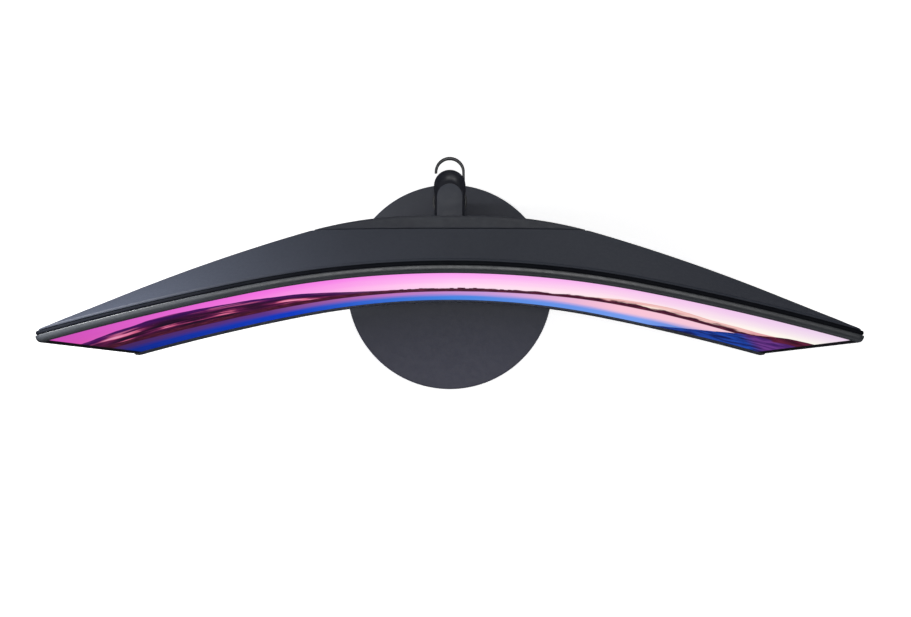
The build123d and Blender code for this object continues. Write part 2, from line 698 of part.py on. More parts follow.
def panel_cable():
    """Flat flexible cable from the driver board to the main board's lower connector."""
    low = curve_y(40, DRIVER_REAR) + 1.8
    high = BOARD_FRONT - 3.2
    path = [(low, 138), (low, 156), (high, 166), (high, PLUG_LOW - 0.2)]
    back = [(y + 0.4, z + 0.1) for y, z in reversed(path)]
    face = make_face(Plane.YZ * Polyline(*(path + back), close=True))
    return Pos(CABLE_LEFT, 0, 0) * extrude(face, amount=CABLE_WIDTH, dir=(1, 0, 0))


def driver_connector():
    """Socket on the driver board that takes the flat cable."""
    near = curve_y(CABLE_LEFT - 2, DRIVER_REAR)
    far = curve_y(40, DRIVER_REAR) + 1.7
    body = block(CABLE_LEFT - 2, CABLE_LEFT + CABLE_WIDTH + 2, near, far, 134, 140)
    return body - layer(-10, DRIVER_REAR + 0.05, DRIVER_HALF, DRIVER_LOW, DRIVER_HIGH)


# ---- joystick --------------------------------------------------------------------------
def jog_place():
    """Location on the rear cover: local Z is out of the cover, local Y up."""
    y = full_depth(JOG_X)
    slope = asin((JOG_X - WING_CENTRE_X) / R_WING)
    plane = Plane(origin=(JOG_X, y, JOG_Z), x_dir=(-cos(slope), sin(slope), 0),
                  z_dir=(sin(slope), cos(slope), 0))
    return plane.location


def jog_well():
    """Cup clipped into the rear cover, with the bores of the outer pivot."""
    cup = rod(JOG_CUP_R, (0, 0, -JOG_CUP_DEEP), (0, 0, JOG_FLANGE_REAR))
    cup += rod(JOG_FLANGE_R, (0, 0, JOG_FLANGE_FRONT), (0, 0, JOG_FLANGE_REAR))
    cup -= rod(JOG_WELL_R, (0, 0, -JOG_FLOOR), (0, 0, 2))
    for side in (-1, 1):
        start = (side * 9.0, 0, JOG_PIVOT)
        cup -= rod(TRUNNION_R + PIN_CLEARANCE, start, (side * 10.6, 0, JOG_PIVOT))
    return jog_place() * cup


def jog_board():
    board = Pos(0, 0, SWITCH_TOP - 2.1) * Box(30, 24, 1.6)
    board += Pos(0, 0, SWITCH_TOP - 0.7) * Box(9, 9, 1.4)
    return jog_place() * board


def jog_gimbal():
    """Outer ring of the joystick: rocks up and down on two short pins."""
    body = ring(GIMBAL_R, GIMBAL_BORE_R, (0, 0, JOG_PIVOT - GIMBAL_HALF), (0, 0, JOG_PIVOT + GIMBAL_HALF))
    for side in (-1, 1):
        body += rod(TRUNNION_R, (side * 8.0, 0, JOG_PIVOT), (side * 10.3, 0, JOG_PIVOT))
        start = (0, side * 5.0, JOG_PIVOT)
        body -= rod(TRUNNION_R + PIN_CLEARANCE, start, (0, side * 9.2, JOG_PIVOT))
    return jog_place() * body


def jog_stick():
    """Stem with cross pins: rocks left and right in the gimbal."""
    stem = rod(STEM_HUB_R, (0, 0, JOG_PIVOT - GIMBAL_HALF), (0, 0, JOG_PIVOT + GIMBAL_HALF))
    stem += rod(STEM_R, (0, 0, JOG_PIVOT - STEM_LOW), (0, 0, STEM_TOP))
    stem += rod(TRUNNION_R, (0, -8.2, JOG_PIVOT), (0, 8.2, JOG_PIVOT))
    return jog_place() * stem


def jog_cap():
    """Thumb cap with a dished top, which slides on the stem when pressed."""
    cap = rod(CAP_R, (0, 0, CAP_LOW), (0, 0, CAP_TOP))
    cap = fillet(cap.edges().sort_by(Axis.Z)[-1:], CAP_ROUND)
    cap += rod(CAP_SLEEVE_R, (0, 0, CAP_SLEEVE_LOW), (0, 0, 0))
    cap -= Pos(0, 0, DISH_HIGH) * Sphere(DISH_R)
    cap -= rod(STEM_R + PIN_CLEARANCE, (0, 0, CAP_SLEEVE_LOW - 1), (0, 0, CAP_BORE_TOP))
    return jog_place() * cap


# ---- stand -----------------------------------------------------------------------------
def base_cover():
    """Round top cover with a turned-down rim and a hole for the pole."""
    cover = rod(BASE_R, (0, 0, FOOT_HEIGHT - 0.2), (0, 0, BASE_TOP))
    cover = fillet(cover.edges().sort_by(Axis.Z)[-1:], RIM_ROUND)
    cover -= rod(BASE_R - 3, (0, 0, 0), (0, 0, WEIGHT_TOP + 0.1))
    return cover - rod(POLE_R + 0.2, (0, POLE_Y, 0), (0, POLE_Y, BASE_TOP + 1))


def base_screw_places():
    turns = [radians(a) for a in (30, 150, 210, 330)]
    return [(BASE_SCREW_RING * cos(a), BASE_SCREW_RING * sin(a) - 12) for a in turns]


def base_weight():
    """Steel disc with the pocket for the connecting screw."""
    weight = rod(BASE_R - 3.5, (0, 0, PLATE_TOP), (0, 0, WEIGHT_TOP))
    weight -= rod(POCKET_R, (0, POLE_Y, 0), (0, POLE_Y, POCKET_TOP))
    weight -= rod(3.2, (0, POLE_Y, 0), (0, POLE_Y, 20))
    for x, y in base_screw_places():
        weight -= rod(M3_R, (x, y, 0), (x, y, 6.5))
    return weight


def base_bottom_plate():
    plate = rod(BASE_R - 3.5, (0, 0, PLATE_BOTTOM), (0, 0, PLATE_TOP))
    plate -= rod(POCKET_R, (0, POLE_Y, 0), (0, POLE_Y, 5))
    for x, y in base_screw_places():
        plate -= rod(1.6, (x, y, 0), (x, y, 5))
    return plate


def base_screws():
    screws = []
    for x, y in base_screw_places():
        shaft = rod(M3_R, (x, y, PLATE_BOTTOM), (x, y, 6.4))
        screws.append(shaft + rod(3, (x, y, 0.5), (x, y, PLATE_BOTTOM)))
    return group(screws)


def rubber_feet():
    """Six pads near the rim and one in the middle."""
    pads = [rod(MIDDLE_FOOT_R, (0, 0, 0), (0, 0, PLATE_BOTTOM))]
    for i in range(6):
        angle = radians(60 * i)
        x = FOOT_RING * cos(angle)
        y = FOOT_RING * sin(angle)
        pads.append(rod(FOOT_R, (x, y, 0), (x, y, PLATE_BOTTOM)))
    return group(pads)


def bent_tube(radius, foot, front):
    """Round bar up the pole, round the bend and forward along the arm."""
    corner = (0, POLE_Y, ARM_Z)
    path = FilletPolyline((0, POLE_Y, foot), corner, (0, front, ARM_Z), radius=BEND_R)
    profile = Plane((0, POLE_Y, foot), z_dir=(0, 0, 1)) * Circle(radius)
    return sweep(profile, path=path)


def above_arm(height):
    return block(-40, 40, -40, 140, ARM_Z + height, ARM_Z + 60)


def neck_tube():
    """Pole and arm in one bent tube, planed flat along the arm's top."""
    tube = bent_tube(POLE_R, WEIGHT_TOP, ARM_FRONT)
    tube -= bent_tube(POLE_R - TUBE_WALL, WEIGHT_TOP - 1, ARM_FRONT - 1)
    tube -= above_arm(ARM_FLAT)
    for y in BLOCK_SCREW_YS:
        tube -= rod(BLOCK_SCREW_R, (0, y, ARM_Z - 15.4), (0, y, ARM_Z))
    return tube


def neck_foot():
    """Steel plug welded into the pole's bottom, threaded for the connecting screw."""
    plug = rod(POLE_R - TUBE_WALL, (0, POLE_Y, WEIGHT_TOP), (0, POLE_Y, 34))
    return plug - rod(M6_R, (0, POLE_Y, WEIGHT_TOP - 1), (0, POLE_Y, 28))


def connecting_screw():
    """Captive screw from below with a lug for its folding ring."""
    screw = rod(M6_R, (0, POLE_Y, POCKET_TOP - 0.5), (0, POLE_Y, 24))
    screw += rod(10, (0, POLE_Y, POCKET_TOP - 2.0), (0, POLE_Y, POCKET_TOP))
    screw += block(-SCREW_LUG_HALF, SCREW_LUG_HALF, POLE_Y - 2.2, POLE_Y + 2.2,
                   BAIL_Z - 1.6, POCKET_TOP - 1)
    bore = BAIL_WIRE + PIN_CLEARANCE
    return screw - rod(bore, (-4, POLE_Y, BAIL_Z), (4, POLE_Y, BAIL_Z))


def screw_bail():
    """Folding ring of the connecting screw: straight pivot bar and a half circle."""
    left = (-BAIL_R, POLE_Y, BAIL_Z)
    right = (BAIL_R, POLE_Y, BAIL_Z)
    far = (0, POLE_Y - BAIL_R, BAIL_Z)
    bar = rod(BAIL_WIRE, left, right)
    profile = Plane(origin=right, z_dir=(0, -1, 0)) * Circle(BAIL_WIRE)
    loop = sweep(profile, path=ThreePointArc(right, far, left))
    ends = [Pos(*p) * Sphere(BAIL_WIRE) for p in (left, right)]
    return bar + loop + ends[0] + ends[1]


def arm_top_cover():
    """Flat strip let into the arm's top, with a half-round rear end."""
    straight_end = TONGUE_END - TONGUE_R
    low = ARM_Z + ARM_FLAT
    high = low + STRIP_THICK
    strip = block(-TONGUE_R, TONGUE_R, STRIP_FRONT, straight_end, low, high)
    strip += rod(TONGUE_R, (0, straight_end, low), (0, straight_end, high))
    strip = fillet(strip.edges().group_by(Axis.Z)[-1], 0.4)
    return strip + block(-8.8, 8.8, PLUG_REAR + 1, PLUG_REAR + 8, low - 2, low)


def hinge_block():
    """Steel plug in the arm's end with the lug that holds the tilt pin."""
    plug = rod(POLE_R - TUBE_WALL - 0.05, (0, ARM_FRONT, ARM_Z), (0, PLUG_REAR, ARM_Z))
    plug -= above_arm(ARM_FLAT - 1.3)
    plug += block(-LUG_HALF, LUG_HALF, HINGE_Y, ARM_FRONT + 1, ARM_Z - 8.0, ARM_Z + 7.9)
    plug += rod(LUG_R, (-LUG_HALF, HINGE_Y, ARM_Z), (LUG_HALF, HINGE_Y, ARM_Z))
    plug -= rod(PIN_R, (-20, HINGE_Y, ARM_Z), (20, HINGE_Y, ARM_Z))
    for y in BLOCK_SCREW_YS:
        plug -= rod(BLOCK_SCREW_R, (0, y, ARM_Z - 20), (0, y, ARM_Z + 20))
        plug -= rod(BLOCK_HEAD_R + 0.2, (0, y, ARM_Z + BLOCK_HEAD_SEAT), (0, y, ARM_Z + 20))
    return plug


def hinge_block_screws():
    screws = []
    for y in BLOCK_SCREW_YS:
        seat = ARM_Z + BLOCK_HEAD_SEAT
        shaft = rod(BLOCK_SCREW_R, (0, y, ARM_Z - 15.3), (0, y, seat))
        screws.append(shaft + rod(BLOCK_HEAD_R, (0, y, seat), (0, y, seat + 2.6)))
    return group(screws)


def hinge_pin():
    """Tilt axle, fixed in the lug, with a flange on one end."""
    end = STACK_HALF + NUT_WIDTH + 0.5
    pin = rod(PIN_R, (-STACK_HALF - 0.1, HINGE_Y, ARM_Z), (end, HINGE_Y, ARM_Z))
    return pin + rod(PIN_FLANGE_R, (-STACK_HALF - 2.5, HINGE_Y, ARM_Z), (-STACK_HALF, HINGE_Y, ARM_Z))


def hinge_washers():
    """Friction washers each side of the lug and outside each ear."""
    washers = []
    for side in (-1, 1):
        for x0, x1 in ((LUG_HALF, EAR_IN - WASHER_GAP), (EAR_OUT + WASHER_GAP, STACK_HALF)):
            start = (side * x0, HINGE_Y, ARM_Z)
            washers.append(ring(WASHER_R, PIN_R, start, (side * x1, HINGE_Y, ARM_Z)))
    return group(washers)


def hinge_nut():
    face = Plane((STACK_HALF, HINGE_Y, ARM_Z), z_dir=(1, 0, 0)) * RegularPolygon(NUT_R, 6)
    nut = extrude(face, amount=NUT_WIDTH, dir=(1, 0, 0))
    return nut - rod(PIN_R, (16, HINGE_Y, ARM_Z), (24, HINGE_Y, ARM_Z))


def cable_clip():
    """Spring band that snaps round the pole and carries an open hook behind it."""
    inner = POLE_R + GRIP_CLEARANCE
    outer = inner + CLIP_BAND
    hook_inner = HOOK_R - CLIP_BAND
    low = CLIP_Z - CLIP_HEIGHT / 2
    grip = ring(outer, inner, (0, POLE_Y, low), (0, POLE_Y, low + CLIP_HEIGHT))
    mouth = outer * 2
    spread = radians(180 - GRIP_HALF_ANGLE)
    wedge = Polyline((0, POLE_Y), (mouth * sin(spread), POLE_Y - mouth * cos(spread)),
                     (0, POLE_Y - 2 * mouth),
                     (-mouth * sin(spread), POLE_Y - mouth * cos(spread)), close=True)
    grip -= Pos(0, 0, low - 1) * extrude(make_face(wedge), amount=CLIP_HEIGHT + 2, dir=(0, 0, 1))
    hook = ring(HOOK_R, hook_inner, (0, HOOK_Y, low), (0, HOOK_Y, low + CLIP_HEIGHT))
    hook -= block(-30, 30, HOOK_Y - 30, HOOK_Y, low - 1, low + CLIP_HEIGHT + 1)
    tip = rod(CLIP_BAND / 2, (-HOOK_R + CLIP_BAND / 2, HOOK_Y, low),
              (-HOOK_R + CLIP_BAND / 2, HOOK_Y, low + CLIP_HEIGHT))
    reach = POLE_Y + sqrt(inner ** 2 - hook_inner ** 2) + 0.6
    arm = block(hook_inner, HOOK_R, reach, HOOK_Y, low, low + CLIP_HEIGHT)
    return grip + hook + tip + arm


# ---- write every piece -----------------------------------------------------------------
outer_form = rear_form(0)
inner_form = rear_form(WALL)

pieces = {
    "base_cover": base_cover(),
    "base_weight": base_weight(),
    "base_bottom_plate": base_bottom_plate(),
    "base_screws": base_screws(),
    "rubber_feet": rubber_feet(),
    "neck_tube": neck_tube(),
    "neck_foot": neck_foot(),
    "connecting_screw": connecting_screw(),
    "screw_bail": screw_bail(),
    "arm_top_cover": arm_top_cover(),
    "hinge_block": hinge_block(),
    "hinge_block_screws": hinge_block_screws(),
    "hinge_pin": hinge_pin(),
    "hinge_washers": hinge_washers(),
    "hinge_nut": hinge_nut(),
    "cable_clip": cable_clip(),
    "front_rim": front_rim(),
    "bottom_chin": bottom_chin(),
    "power_led_lens": power_led_lens(),
    "mid_frame": mid_frame(),
    "lcd_panel": lcd_panel(),
    "prism_sheet": optical_sheet(1.6, 1.85),
    "diffuser_sheet": optical_sheet(1.95, 2.35),
    "light_guide": optical_sheet(2.45, 4.45),
    "reflector_sheet": optical_sheet(4.55, 4.8),
    "led_strip": led_strip(),
    "back_chassis": back_chassis(),
    "hinge_bracket": hinge_bracket(),
    "bracket_screws": bracket_screws(),
    "vesa_bosses": vesa_bosses(),
    "main_board": main_board(),
    "board_standoffs": board_standoffs(),
    "board_screws": board_screws(),
    "board_shield": board_shield(),
    "panel_driver_board": panel_driver_board(),
    "driver_connector": driver_connector(),
    "panel_cable": panel_cable(),
    "port_panel": port_panel(inner_form),
    "hdmi_socket": plug_socket(HDMI_X, *HDMI_SIZE, 0.5, 11.0, 1.4),
    "displayport_socket": plug_socket(DP_X, *DP_SIZE, 0.5, 13.0, 1.6),
    "vga_socket": vga_socket(),
    "audio_jack": audio_jack(),
    "dc_inlet": dc_inlet(),
    "rear_cover": rear_cover(outer_form, inner_form),
    "rear_housing": rear_housing(outer_form, inner_form),
    "housing_screws": housing_screws(),
    "jog_well": jog_well(),
    "jog_board": jog_board(),
    "jog_gimbal": jog_gimbal(),
    "jog_stick": jog_stick(),
    "jog_cap": jog_cap(),
}

for name, shape in pieces.items():
    write(name, shape)
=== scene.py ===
import json
from math import asin, cos, pi, radians, sin, sqrt, tan

import bmesh
import bpy
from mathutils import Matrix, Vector

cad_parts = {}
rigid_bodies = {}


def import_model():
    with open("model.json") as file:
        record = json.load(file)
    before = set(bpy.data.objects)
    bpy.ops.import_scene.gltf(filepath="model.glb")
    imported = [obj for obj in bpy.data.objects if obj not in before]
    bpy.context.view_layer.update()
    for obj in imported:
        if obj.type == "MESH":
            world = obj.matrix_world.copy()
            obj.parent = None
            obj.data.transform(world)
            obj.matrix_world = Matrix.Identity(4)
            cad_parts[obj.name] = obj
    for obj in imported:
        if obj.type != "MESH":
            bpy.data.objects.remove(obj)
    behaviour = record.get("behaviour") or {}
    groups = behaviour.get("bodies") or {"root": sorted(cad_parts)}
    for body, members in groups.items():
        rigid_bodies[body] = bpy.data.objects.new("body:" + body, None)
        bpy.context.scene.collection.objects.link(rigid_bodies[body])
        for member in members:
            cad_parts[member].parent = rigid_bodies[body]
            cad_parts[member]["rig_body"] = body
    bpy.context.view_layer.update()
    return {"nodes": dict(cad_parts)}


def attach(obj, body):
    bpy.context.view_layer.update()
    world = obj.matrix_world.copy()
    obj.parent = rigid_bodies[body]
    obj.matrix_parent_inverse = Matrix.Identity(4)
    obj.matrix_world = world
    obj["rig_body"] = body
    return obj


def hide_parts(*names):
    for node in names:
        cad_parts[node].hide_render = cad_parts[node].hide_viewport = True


# A curved monitor on a round-foot stand. Shapes are worked out in millimetres and
# turned into metres when a mesh is made. +Z is up and -Y is the viewer's side.

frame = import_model()
MM = 0.001

# ---- driving dimensions, the same as the part's
SCREEN_TOP = 515.0
ACTIVE_HEIGHT = 392.85
ACTIVE_HALF = 349.2           # half the picture's width along the curve
SCREEN_Y = -22.5
R_MID = 860.0
HALF_MID = 166.0
R_END = 2400.0
HEAD_TOP = 523.0
HEAD_BOTTOM = 103.0
HALF_ARC = 358.0
CHIN_TOP = 121.65
COVER_FRONT = 9.6
COVER_EDGE = 11.6
REAR_Y = 30.4
FLAT_HALF = 24.0
R_KNEE = 370.0
KNEE_ANGLE = radians(16.3)
R_WING = 1659.0
WING_ANGLE = radians(22.05)
EDGE_INSET = 1.0
COVER_INSET = 2.5
COVER_END_SLOPE = 2.2
CREASE_TOP = 484.0
CREASE_BOTTOM = 150.0
WALL = 2.4
SEAM_Y = 17.5
SEAM_GAP = 0.8
CORNER_R = 5.0
ARM_Z = 303.0
JOG_X = 205.0
JOG_Z = 172.0
VESA_HALF = 37.5
VESA_HOLES = [(x, ARM_Z + z) for x in (-VESA_HALF, VESA_HALF) for z in (-VESA_HALF, VESA_HALF)]
HOUSING_SCREWS = [(x, z) for x in (-90.0, 90.0) for z in (166.0, 456.0)]
SCREW_WELL_R = 3.4

SCREEN_BOTTOM = SCREEN_TOP - ACTIVE_HEIGHT
MID_ANGLE = HALF_MID / R_MID
MID_CENTRE_Y = SCREEN_Y - R_MID
END_CENTRE_X = (R_MID - R_END) * sin(MID_ANGLE)
END_CENTRE_Y = MID_CENTRE_Y + (R_MID - R_END) * cos(MID_ANGLE)
KNEE_X = FLAT_HALF + R_KNEE * sin(KNEE_ANGLE)
KNEE_Y = REAR_Y - R_KNEE * (1 - cos(KNEE_ANGLE))
WING_CENTRE_X = KNEE_X - R_WING * sin(KNEE_ANGLE)
WING_CENTRE_Y = KNEE_Y - R_WING * cos(KNEE_ANGLE)
WING_X = WING_CENTRE_X + R_WING * sin(WING_ANGLE)
WING_Y = WING_CENTRE_Y + R_WING * cos(WING_ANGLE)


# ---- plan curve
def plan_point(s, depth):
    """Point at arc length s from the middle of the screen, depth behind the glass."""
    side = 1 if s >= 0 else -1
    if abs(s) <= HALF_MID:
        angle = abs(s) / R_MID
        radius = R_MID + depth
        return (side * radius * sin(angle), MID_CENTRE_Y + radius * cos(angle))
    angle = MID_ANGLE + (abs(s) - HALF_MID) / R_END
    radius = R_END + depth
    return (side * (END_CENTRE_X + radius * sin(angle)), END_CENTRE_Y + radius * cos(angle))


def screen_point(s, depth, z):
    """The same with its height."""
    return (*plan_point(s, depth), z)


def curve_y(x, depth):
    """Y of the curve at this depth behind the glass, at a given X."""
    radius = R_MID + depth
    if abs(x) <= radius * sin(MID_ANGLE):
        return MID_CENTRE_Y + sqrt(radius ** 2 - x ** 2)
    return END_CENTRE_Y + sqrt((R_END + depth) ** 2 - (abs(x) - END_CENTRE_X) ** 2)


def full_depth(x):
    """Rear outline in plan: flat middle, two arcs, then a straight run to the edge."""
    x = abs(x)
    if x <= FLAT_HALF:
        return REAR_Y
    if x <= KNEE_X:
        return REAR_Y - R_KNEE + sqrt(R_KNEE ** 2 - (x - FLAT_HALF) ** 2)
    if x <= WING_X:
        return WING_CENTRE_Y + sqrt(R_WING ** 2 - (x - WING_CENTRE_X) ** 2)
    return WING_Y - (x - WING_X) * tan(WING_ANGLE)


def stations(start, end, step):
    """Evenly spaced values from start to end, about a step apart."""
    count = max(1, round(abs(end - start) / step))
    return [start + (end - start) * i / count for i in range(count + 1)]


def angles(start, end, count):
    """Radians of count even steps from start to end degrees, both included."""
    return [radians(start + (end - start) * i / count) for i in range(count + 1)]


def full_turn(count):
    """Radians of count evenly spaced points round a circle."""
    return [2 * pi * i / count for i in range(count)]


def arc_points(cx, cy, radius, start, end, count):
    """Points on an arc, angles in degrees."""
    return [(cx + radius * cos(t), cy + radius * sin(t)) for t in angles(start, end, count)]


# ---- materials
class Graph:
    """Node tree of one material, with short ways to add and join nodes."""

    def __init__(self, name):
        self.material = bpy.data.materials.new(name)
        self.material.use_nodes = True
        self.nodes = self.material.node_tree.nodes
        self.links = self.material.node_tree.links
        self.shader = self.nodes["Principled BSDF"]
        self.place = self.nodes.new("ShaderNodeTexCoord").outputs["Object"]

    def join(self, source, target):
        if isinstance(source, bpy.types.NodeSocket):
            self.links.new(source, target)
        else:
            target.default_value = source

    def math(self, operation, a, b=0.0, c=0.0):
        node = self.nodes.new("ShaderNodeMath")
        node.operation = operation
        for socket, value in zip(node.inputs, (a, b, c)):
            self.join(value, socket)
        return node.outputs[0]

    def axes(self):
        node = self.nodes.new("ShaderNodeSeparateXYZ")
        self.join(self.place, node.inputs[0])
        return node.outputs

    def vector(self, x, y, z):
        node = self.nodes.new("ShaderNodeCombineXYZ")
        for socket, value in zip(node.inputs, (x, y, z)):
            self.join(value, socket)
        return node.outputs[0]

    def noise(self, size, detail=2.0, place=None, stretch=(1, 1, 1)):
        """Noise whose features are about size millimetres across."""
        node = self.nodes.new("ShaderNodeTexNoise")
        node.inputs["Scale"].default_value = 1 / (size * MM)
        node.inputs["Detail"].default_value = detail
        source = self.place if place is None else place
        if stretch != (1, 1, 1):
            scale = self.nodes.new("ShaderNodeVectorMath")
            scale.operation = "MULTIPLY"
            self.join(source, scale.inputs[0])
            scale.inputs[1].default_value = stretch
            source = scale.outputs[0]
        self.join(source, node.inputs["Vector"])
        return node.outputs["Fac"]

    def ramp(self, factor, stops):
        """Colour ramp; a stop is (place, (r, g, b))."""
        node = self.nodes.new("ShaderNodeValToRGB")
        elements = node.color_ramp.elements
        while len(elements) > 1:
            elements.remove(elements[0])
        for i, (place, colour) in enumerate(stops):
            element = elements[0] if i == 0 else elements.new(place)
            element.position = place
            element.color = (*colour, 1)
        self.join(factor, node.inputs[0])
        return node.outputs[0]

    def mix(self, factor, a, b):
        node = self.nodes.new("ShaderNodeMix")
        node.data_type = "RGBA"
        self.join(factor, node.inputs[0])
        for value, socket in ((a, node.inputs[6]), (b, node.inputs[7])):
            if isinstance(value, tuple):
                value = (*value, 1)
            self.join(value, socket)
        return node.outputs[2]

    def span(self, value, low, high, out_low=0.0, out_high=1.0):
        """Remaps value from low..high to out_low..out_high, clamped."""
        node = self.nodes.new("ShaderNodeMapRange")
        node.interpolation_type = "SMOOTHSTEP"
        for socket, item in zip(node.inputs[:5], (value, low, high, out_low, out_high)):
            self.join(item, socket)
        return node.outputs[0]

    def bump(self, height, depth):
        """Bump of depth millimetres."""
        node = self.nodes.new("ShaderNodeBump")
        node.inputs["Distance"].default_value = depth * MM
        self.join(height, node.inputs["Height"])
        self.join(node.outputs[0], self.shader.inputs["Normal"])

    def fill(self, **values):
        """Sets the shader's own sockets; a name's underscores stand for spaces."""
        for name, value in values.items():
            value = (*value, 1) if isinstance(value, tuple) else value
            self.join(value, self.shader.inputs[name.replace("_", " ")])
        return self.material


def moulded(name, dark, light, rough, specular):
    """Moulded plastic: spark-eroded grain, faint flow marks, slightly uneven gloss."""
    g = Graph(name)
    flow = g.noise(60, 3)
    fine = g.noise(0.5, 2)
    colour = g.mix(g.span(flow, 0.35, 0.65), dark, light)
    g.bump(fine, 0.012)
    gloss = g.span(g.noise(6, 3), 0.3, 0.7, rough - 0.05, rough + 0.05)
    return g.fill(Base_Color=colour, Roughness=gloss, Specular_IOR_Level=specular)


def textured_shell(name):
    """Matte plastic with a fine pressed cross weave; its colour is lighter on the weave's raised parts
    and darker in its hollows, as painted shade.
    """
    g = Graph(name)
    axes = g.axes()
    thread = 1.5
    pitch = 2 * pi / (thread * MM)
    along = g.math("SINE", g.math("MULTIPLY", axes[0], pitch))
    drop = g.math("SUBTRACT", axes[2], g.math("MULTIPLY", axes[1], 0.9))
    across = g.math("SINE", g.math("MULTIPLY", drop, pitch))
    weave = g.math("MULTIPLY", along, across)
    fine = g.noise(0.4, 2)
    height = g.math("ADD", g.math("MULTIPLY", weave, 0.35), fine)
    g.bump(height, 0.05)
    worn = g.span(g.noise(90, 2), 0.3, 0.7)
    # The weave's share of the tone is painted shade in the weave's hollows and painted light on its
    # raised parts; worn adds random tone.
    tone = g.math("ADD", g.math("MULTIPLY", worn, 0.15), g.math("MULTIPLY", weave, 0.35))
    colour = g.mix(g.span(tone, -0.35, 0.5), (0.021, 0.025, 0.037), (0.033, 0.038, 0.054))
    gloss = g.span(g.noise(3, 2), 0.3, 0.7, 0.56, 0.62)
    return g.fill(Base_Color=colour, Roughness=gloss, Specular_IOR_Level=0.25)


def painted(name, dark, light, rough, specular=0.4):
    """Powder-coated metal: orange peel and fine speckle."""
    g = Graph(name)
    speckle = g.noise(0.35, 2)
    colour = g.mix(g.span(speckle, 0.3, 0.7), dark, light)
    g.bump(speckle, 0.01)
    gloss = g.span(g.noise(4, 2), 0.3, 0.7, rough - 0.03, rough + 0.03)
    return g.fill(Base_Color=colour, Roughness=gloss, Specular_IOR_Level=specular)


def metal(name, dark, light, rough, streak=(1, 1, 1), size=0.8):
    """Bare or plated metal with brushed or grained reflection."""
    g = Graph(name)
    marks = g.noise(size, 4, stretch=streak)
    colour = g.mix(g.span(marks, 0.3, 0.7), dark, light)
    gloss = g.span(marks, 0.25, 0.75, rough - 0.08, rough + 0.1)
    g.bump(marks, 0.01)
    return g.fill(Base_Color=colour, Roughness=gloss, Metallic=1.0)


def rubber(name):
    """Dull black rubber with a fine grain."""
    g = Graph(name)
    grain = g.noise(0.7, 3)
    colour = g.mix(g.span(grain, 0.3, 0.7), (0.012, 0.012, 0.013), (0.022, 0.022, 0.024))
    g.bump(grain, 0.04)
    return g.fill(Base_Color=colour, Roughness=g.span(g.noise(4), 0.3, 0.7, 0.7, 0.85))


def circuit(name):
    """Green board with copper runs under the lacquer."""
    g = Graph(name)
    axes = g.axes()
    patch_size, run_pitch = 5.0, 1.6
    step = g.nodes.new("ShaderNodeTexVoronoi")
    step.distance = "CHEBYCHEV"
    step.inputs["Scale"].default_value = 1 / (patch_size * MM)
    g.join(g.place, step.inputs["Vector"])
    wave = g.math("SINE", g.math("MULTIPLY", axes[0], 2 * pi / (run_pitch * MM)))
    runs = g.math("GREATER_THAN", wave, 0.2)
    patch = g.math("GREATER_THAN", step.outputs["Distance"], 0.34)
    copper = g.math("MULTIPLY", runs, patch)
    colour = g.mix(copper, (0.008, 0.045, 0.02), (0.02, 0.085, 0.035))
    g.bump(copper, 0.03)
    return g.fill(Base_Color=colour, Roughness=g.span(g.noise(3), 0.3, 0.7, 0.3, 0.45))


def film(name, colour_a, colour_b, rough, clear=0.0):
    """Thin plastic sheet; clear is the share of light let through."""
    g = Graph(name)
    haze = g.noise(25, 4)
    colour = g.mix(g.span(haze, 0.3, 0.7), colour_a, colour_b)
    g.bump(g.noise(0.3), 0.004)
    return g.fill(Base_Color=colour, Roughness=g.span(haze, 0.3, 0.7, rough, rough + 0.1),
                  Transmission_Weight=clear)


PICTURE_HALF = plan_point(ACTIVE_HALF, 0)[0]


class Scenery:
    """Places and noises of the picture: u runs -1 to 1 across it, w 0 to 1 up it."""

    def __init__(self, g):
        self.g = g
        axes = g.axes()
        self.u = g.math("DIVIDE", axes[0], PICTURE_HALF * MM)
        rise = g.math("SUBTRACT", axes[2], SCREEN_BOTTOM * MM)
        self.w = g.math("DIVIDE", rise, ACTIVE_HEIGHT * MM)
        self.side = g.math("MULTIPLY_ADD", self.u, 0.5, 0.5)

    def grain(self, across, up, level, detail=5.0):
        """Noise with this many features across half the picture and up its height."""
        place = self.g.vector(self.g.math("MULTIPLY", self.u, across), 0.0,
                              self.g.math("MULTIPLY", level, up))
        return self.g.noise(1 / MM, detail, place)

    def swing(self, noise, size):
        """Noise centred on zero, about size from its least to its most."""
        return self.g.math("MULTIPLY", self.g.math("SUBTRACT", noise, 0.5), size)

    def hump(self, middle, width, top):
        """Bell of height top round u = middle."""
        g = self.g
        away = g.math("DIVIDE", g.math("SUBTRACT", self.u, middle), width)
        fall = g.math("MULTIPLY", g.math("MULTIPLY", away, away), -1)
        return g.math("MULTIPLY", g.math("EXPONENT", fall), top)

    def total(self, *terms):
        whole = terms[0]
        for term in terms[1:]:
            whole = self.g.math("ADD", whole, term)
        return whole

    def below(self, line, colour_above, colour_below, soft=0.004):
        """Colour_below under a line, with a slightly soft edge."""
        over = self.g.math("SUBTRACT", self.w, line)
        return self.g.mix(self.g.span(over, -soft, soft), colour_below, colour_above)


def dusk_sky(view):
    """Magenta at the left to cream at the right, paler towards the horizon."""
    g = view.g
    high = g.ramp(view.side, [(0, (0.62, 0.07, 0.48)), (0.25, (0.90, 0.16, 0.76)),
                              (0.5, (1.0, 0.36, 0.90)), (0.8, (0.90, 0.55, 0.86)),
                              (1, (0.84, 0.66, 0.86))])
    low = g.ramp(view.side, [(0, (0.72, 0.10, 0.45)), (0.3, (0.98, 0.36, 0.80)),
                             (0.5, (1.0, 0.68, 0.88)), (0.75, (1.0, 0.84, 0.84)),
                             (1, (1.0, 0.99, 0.86))])
    cloud = view.swing(view.grain(1.6, 5, view.w), 0.3)
    return g.mix(g.span(view.total(view.w, cloud), 1.0, 0.55), high, low)


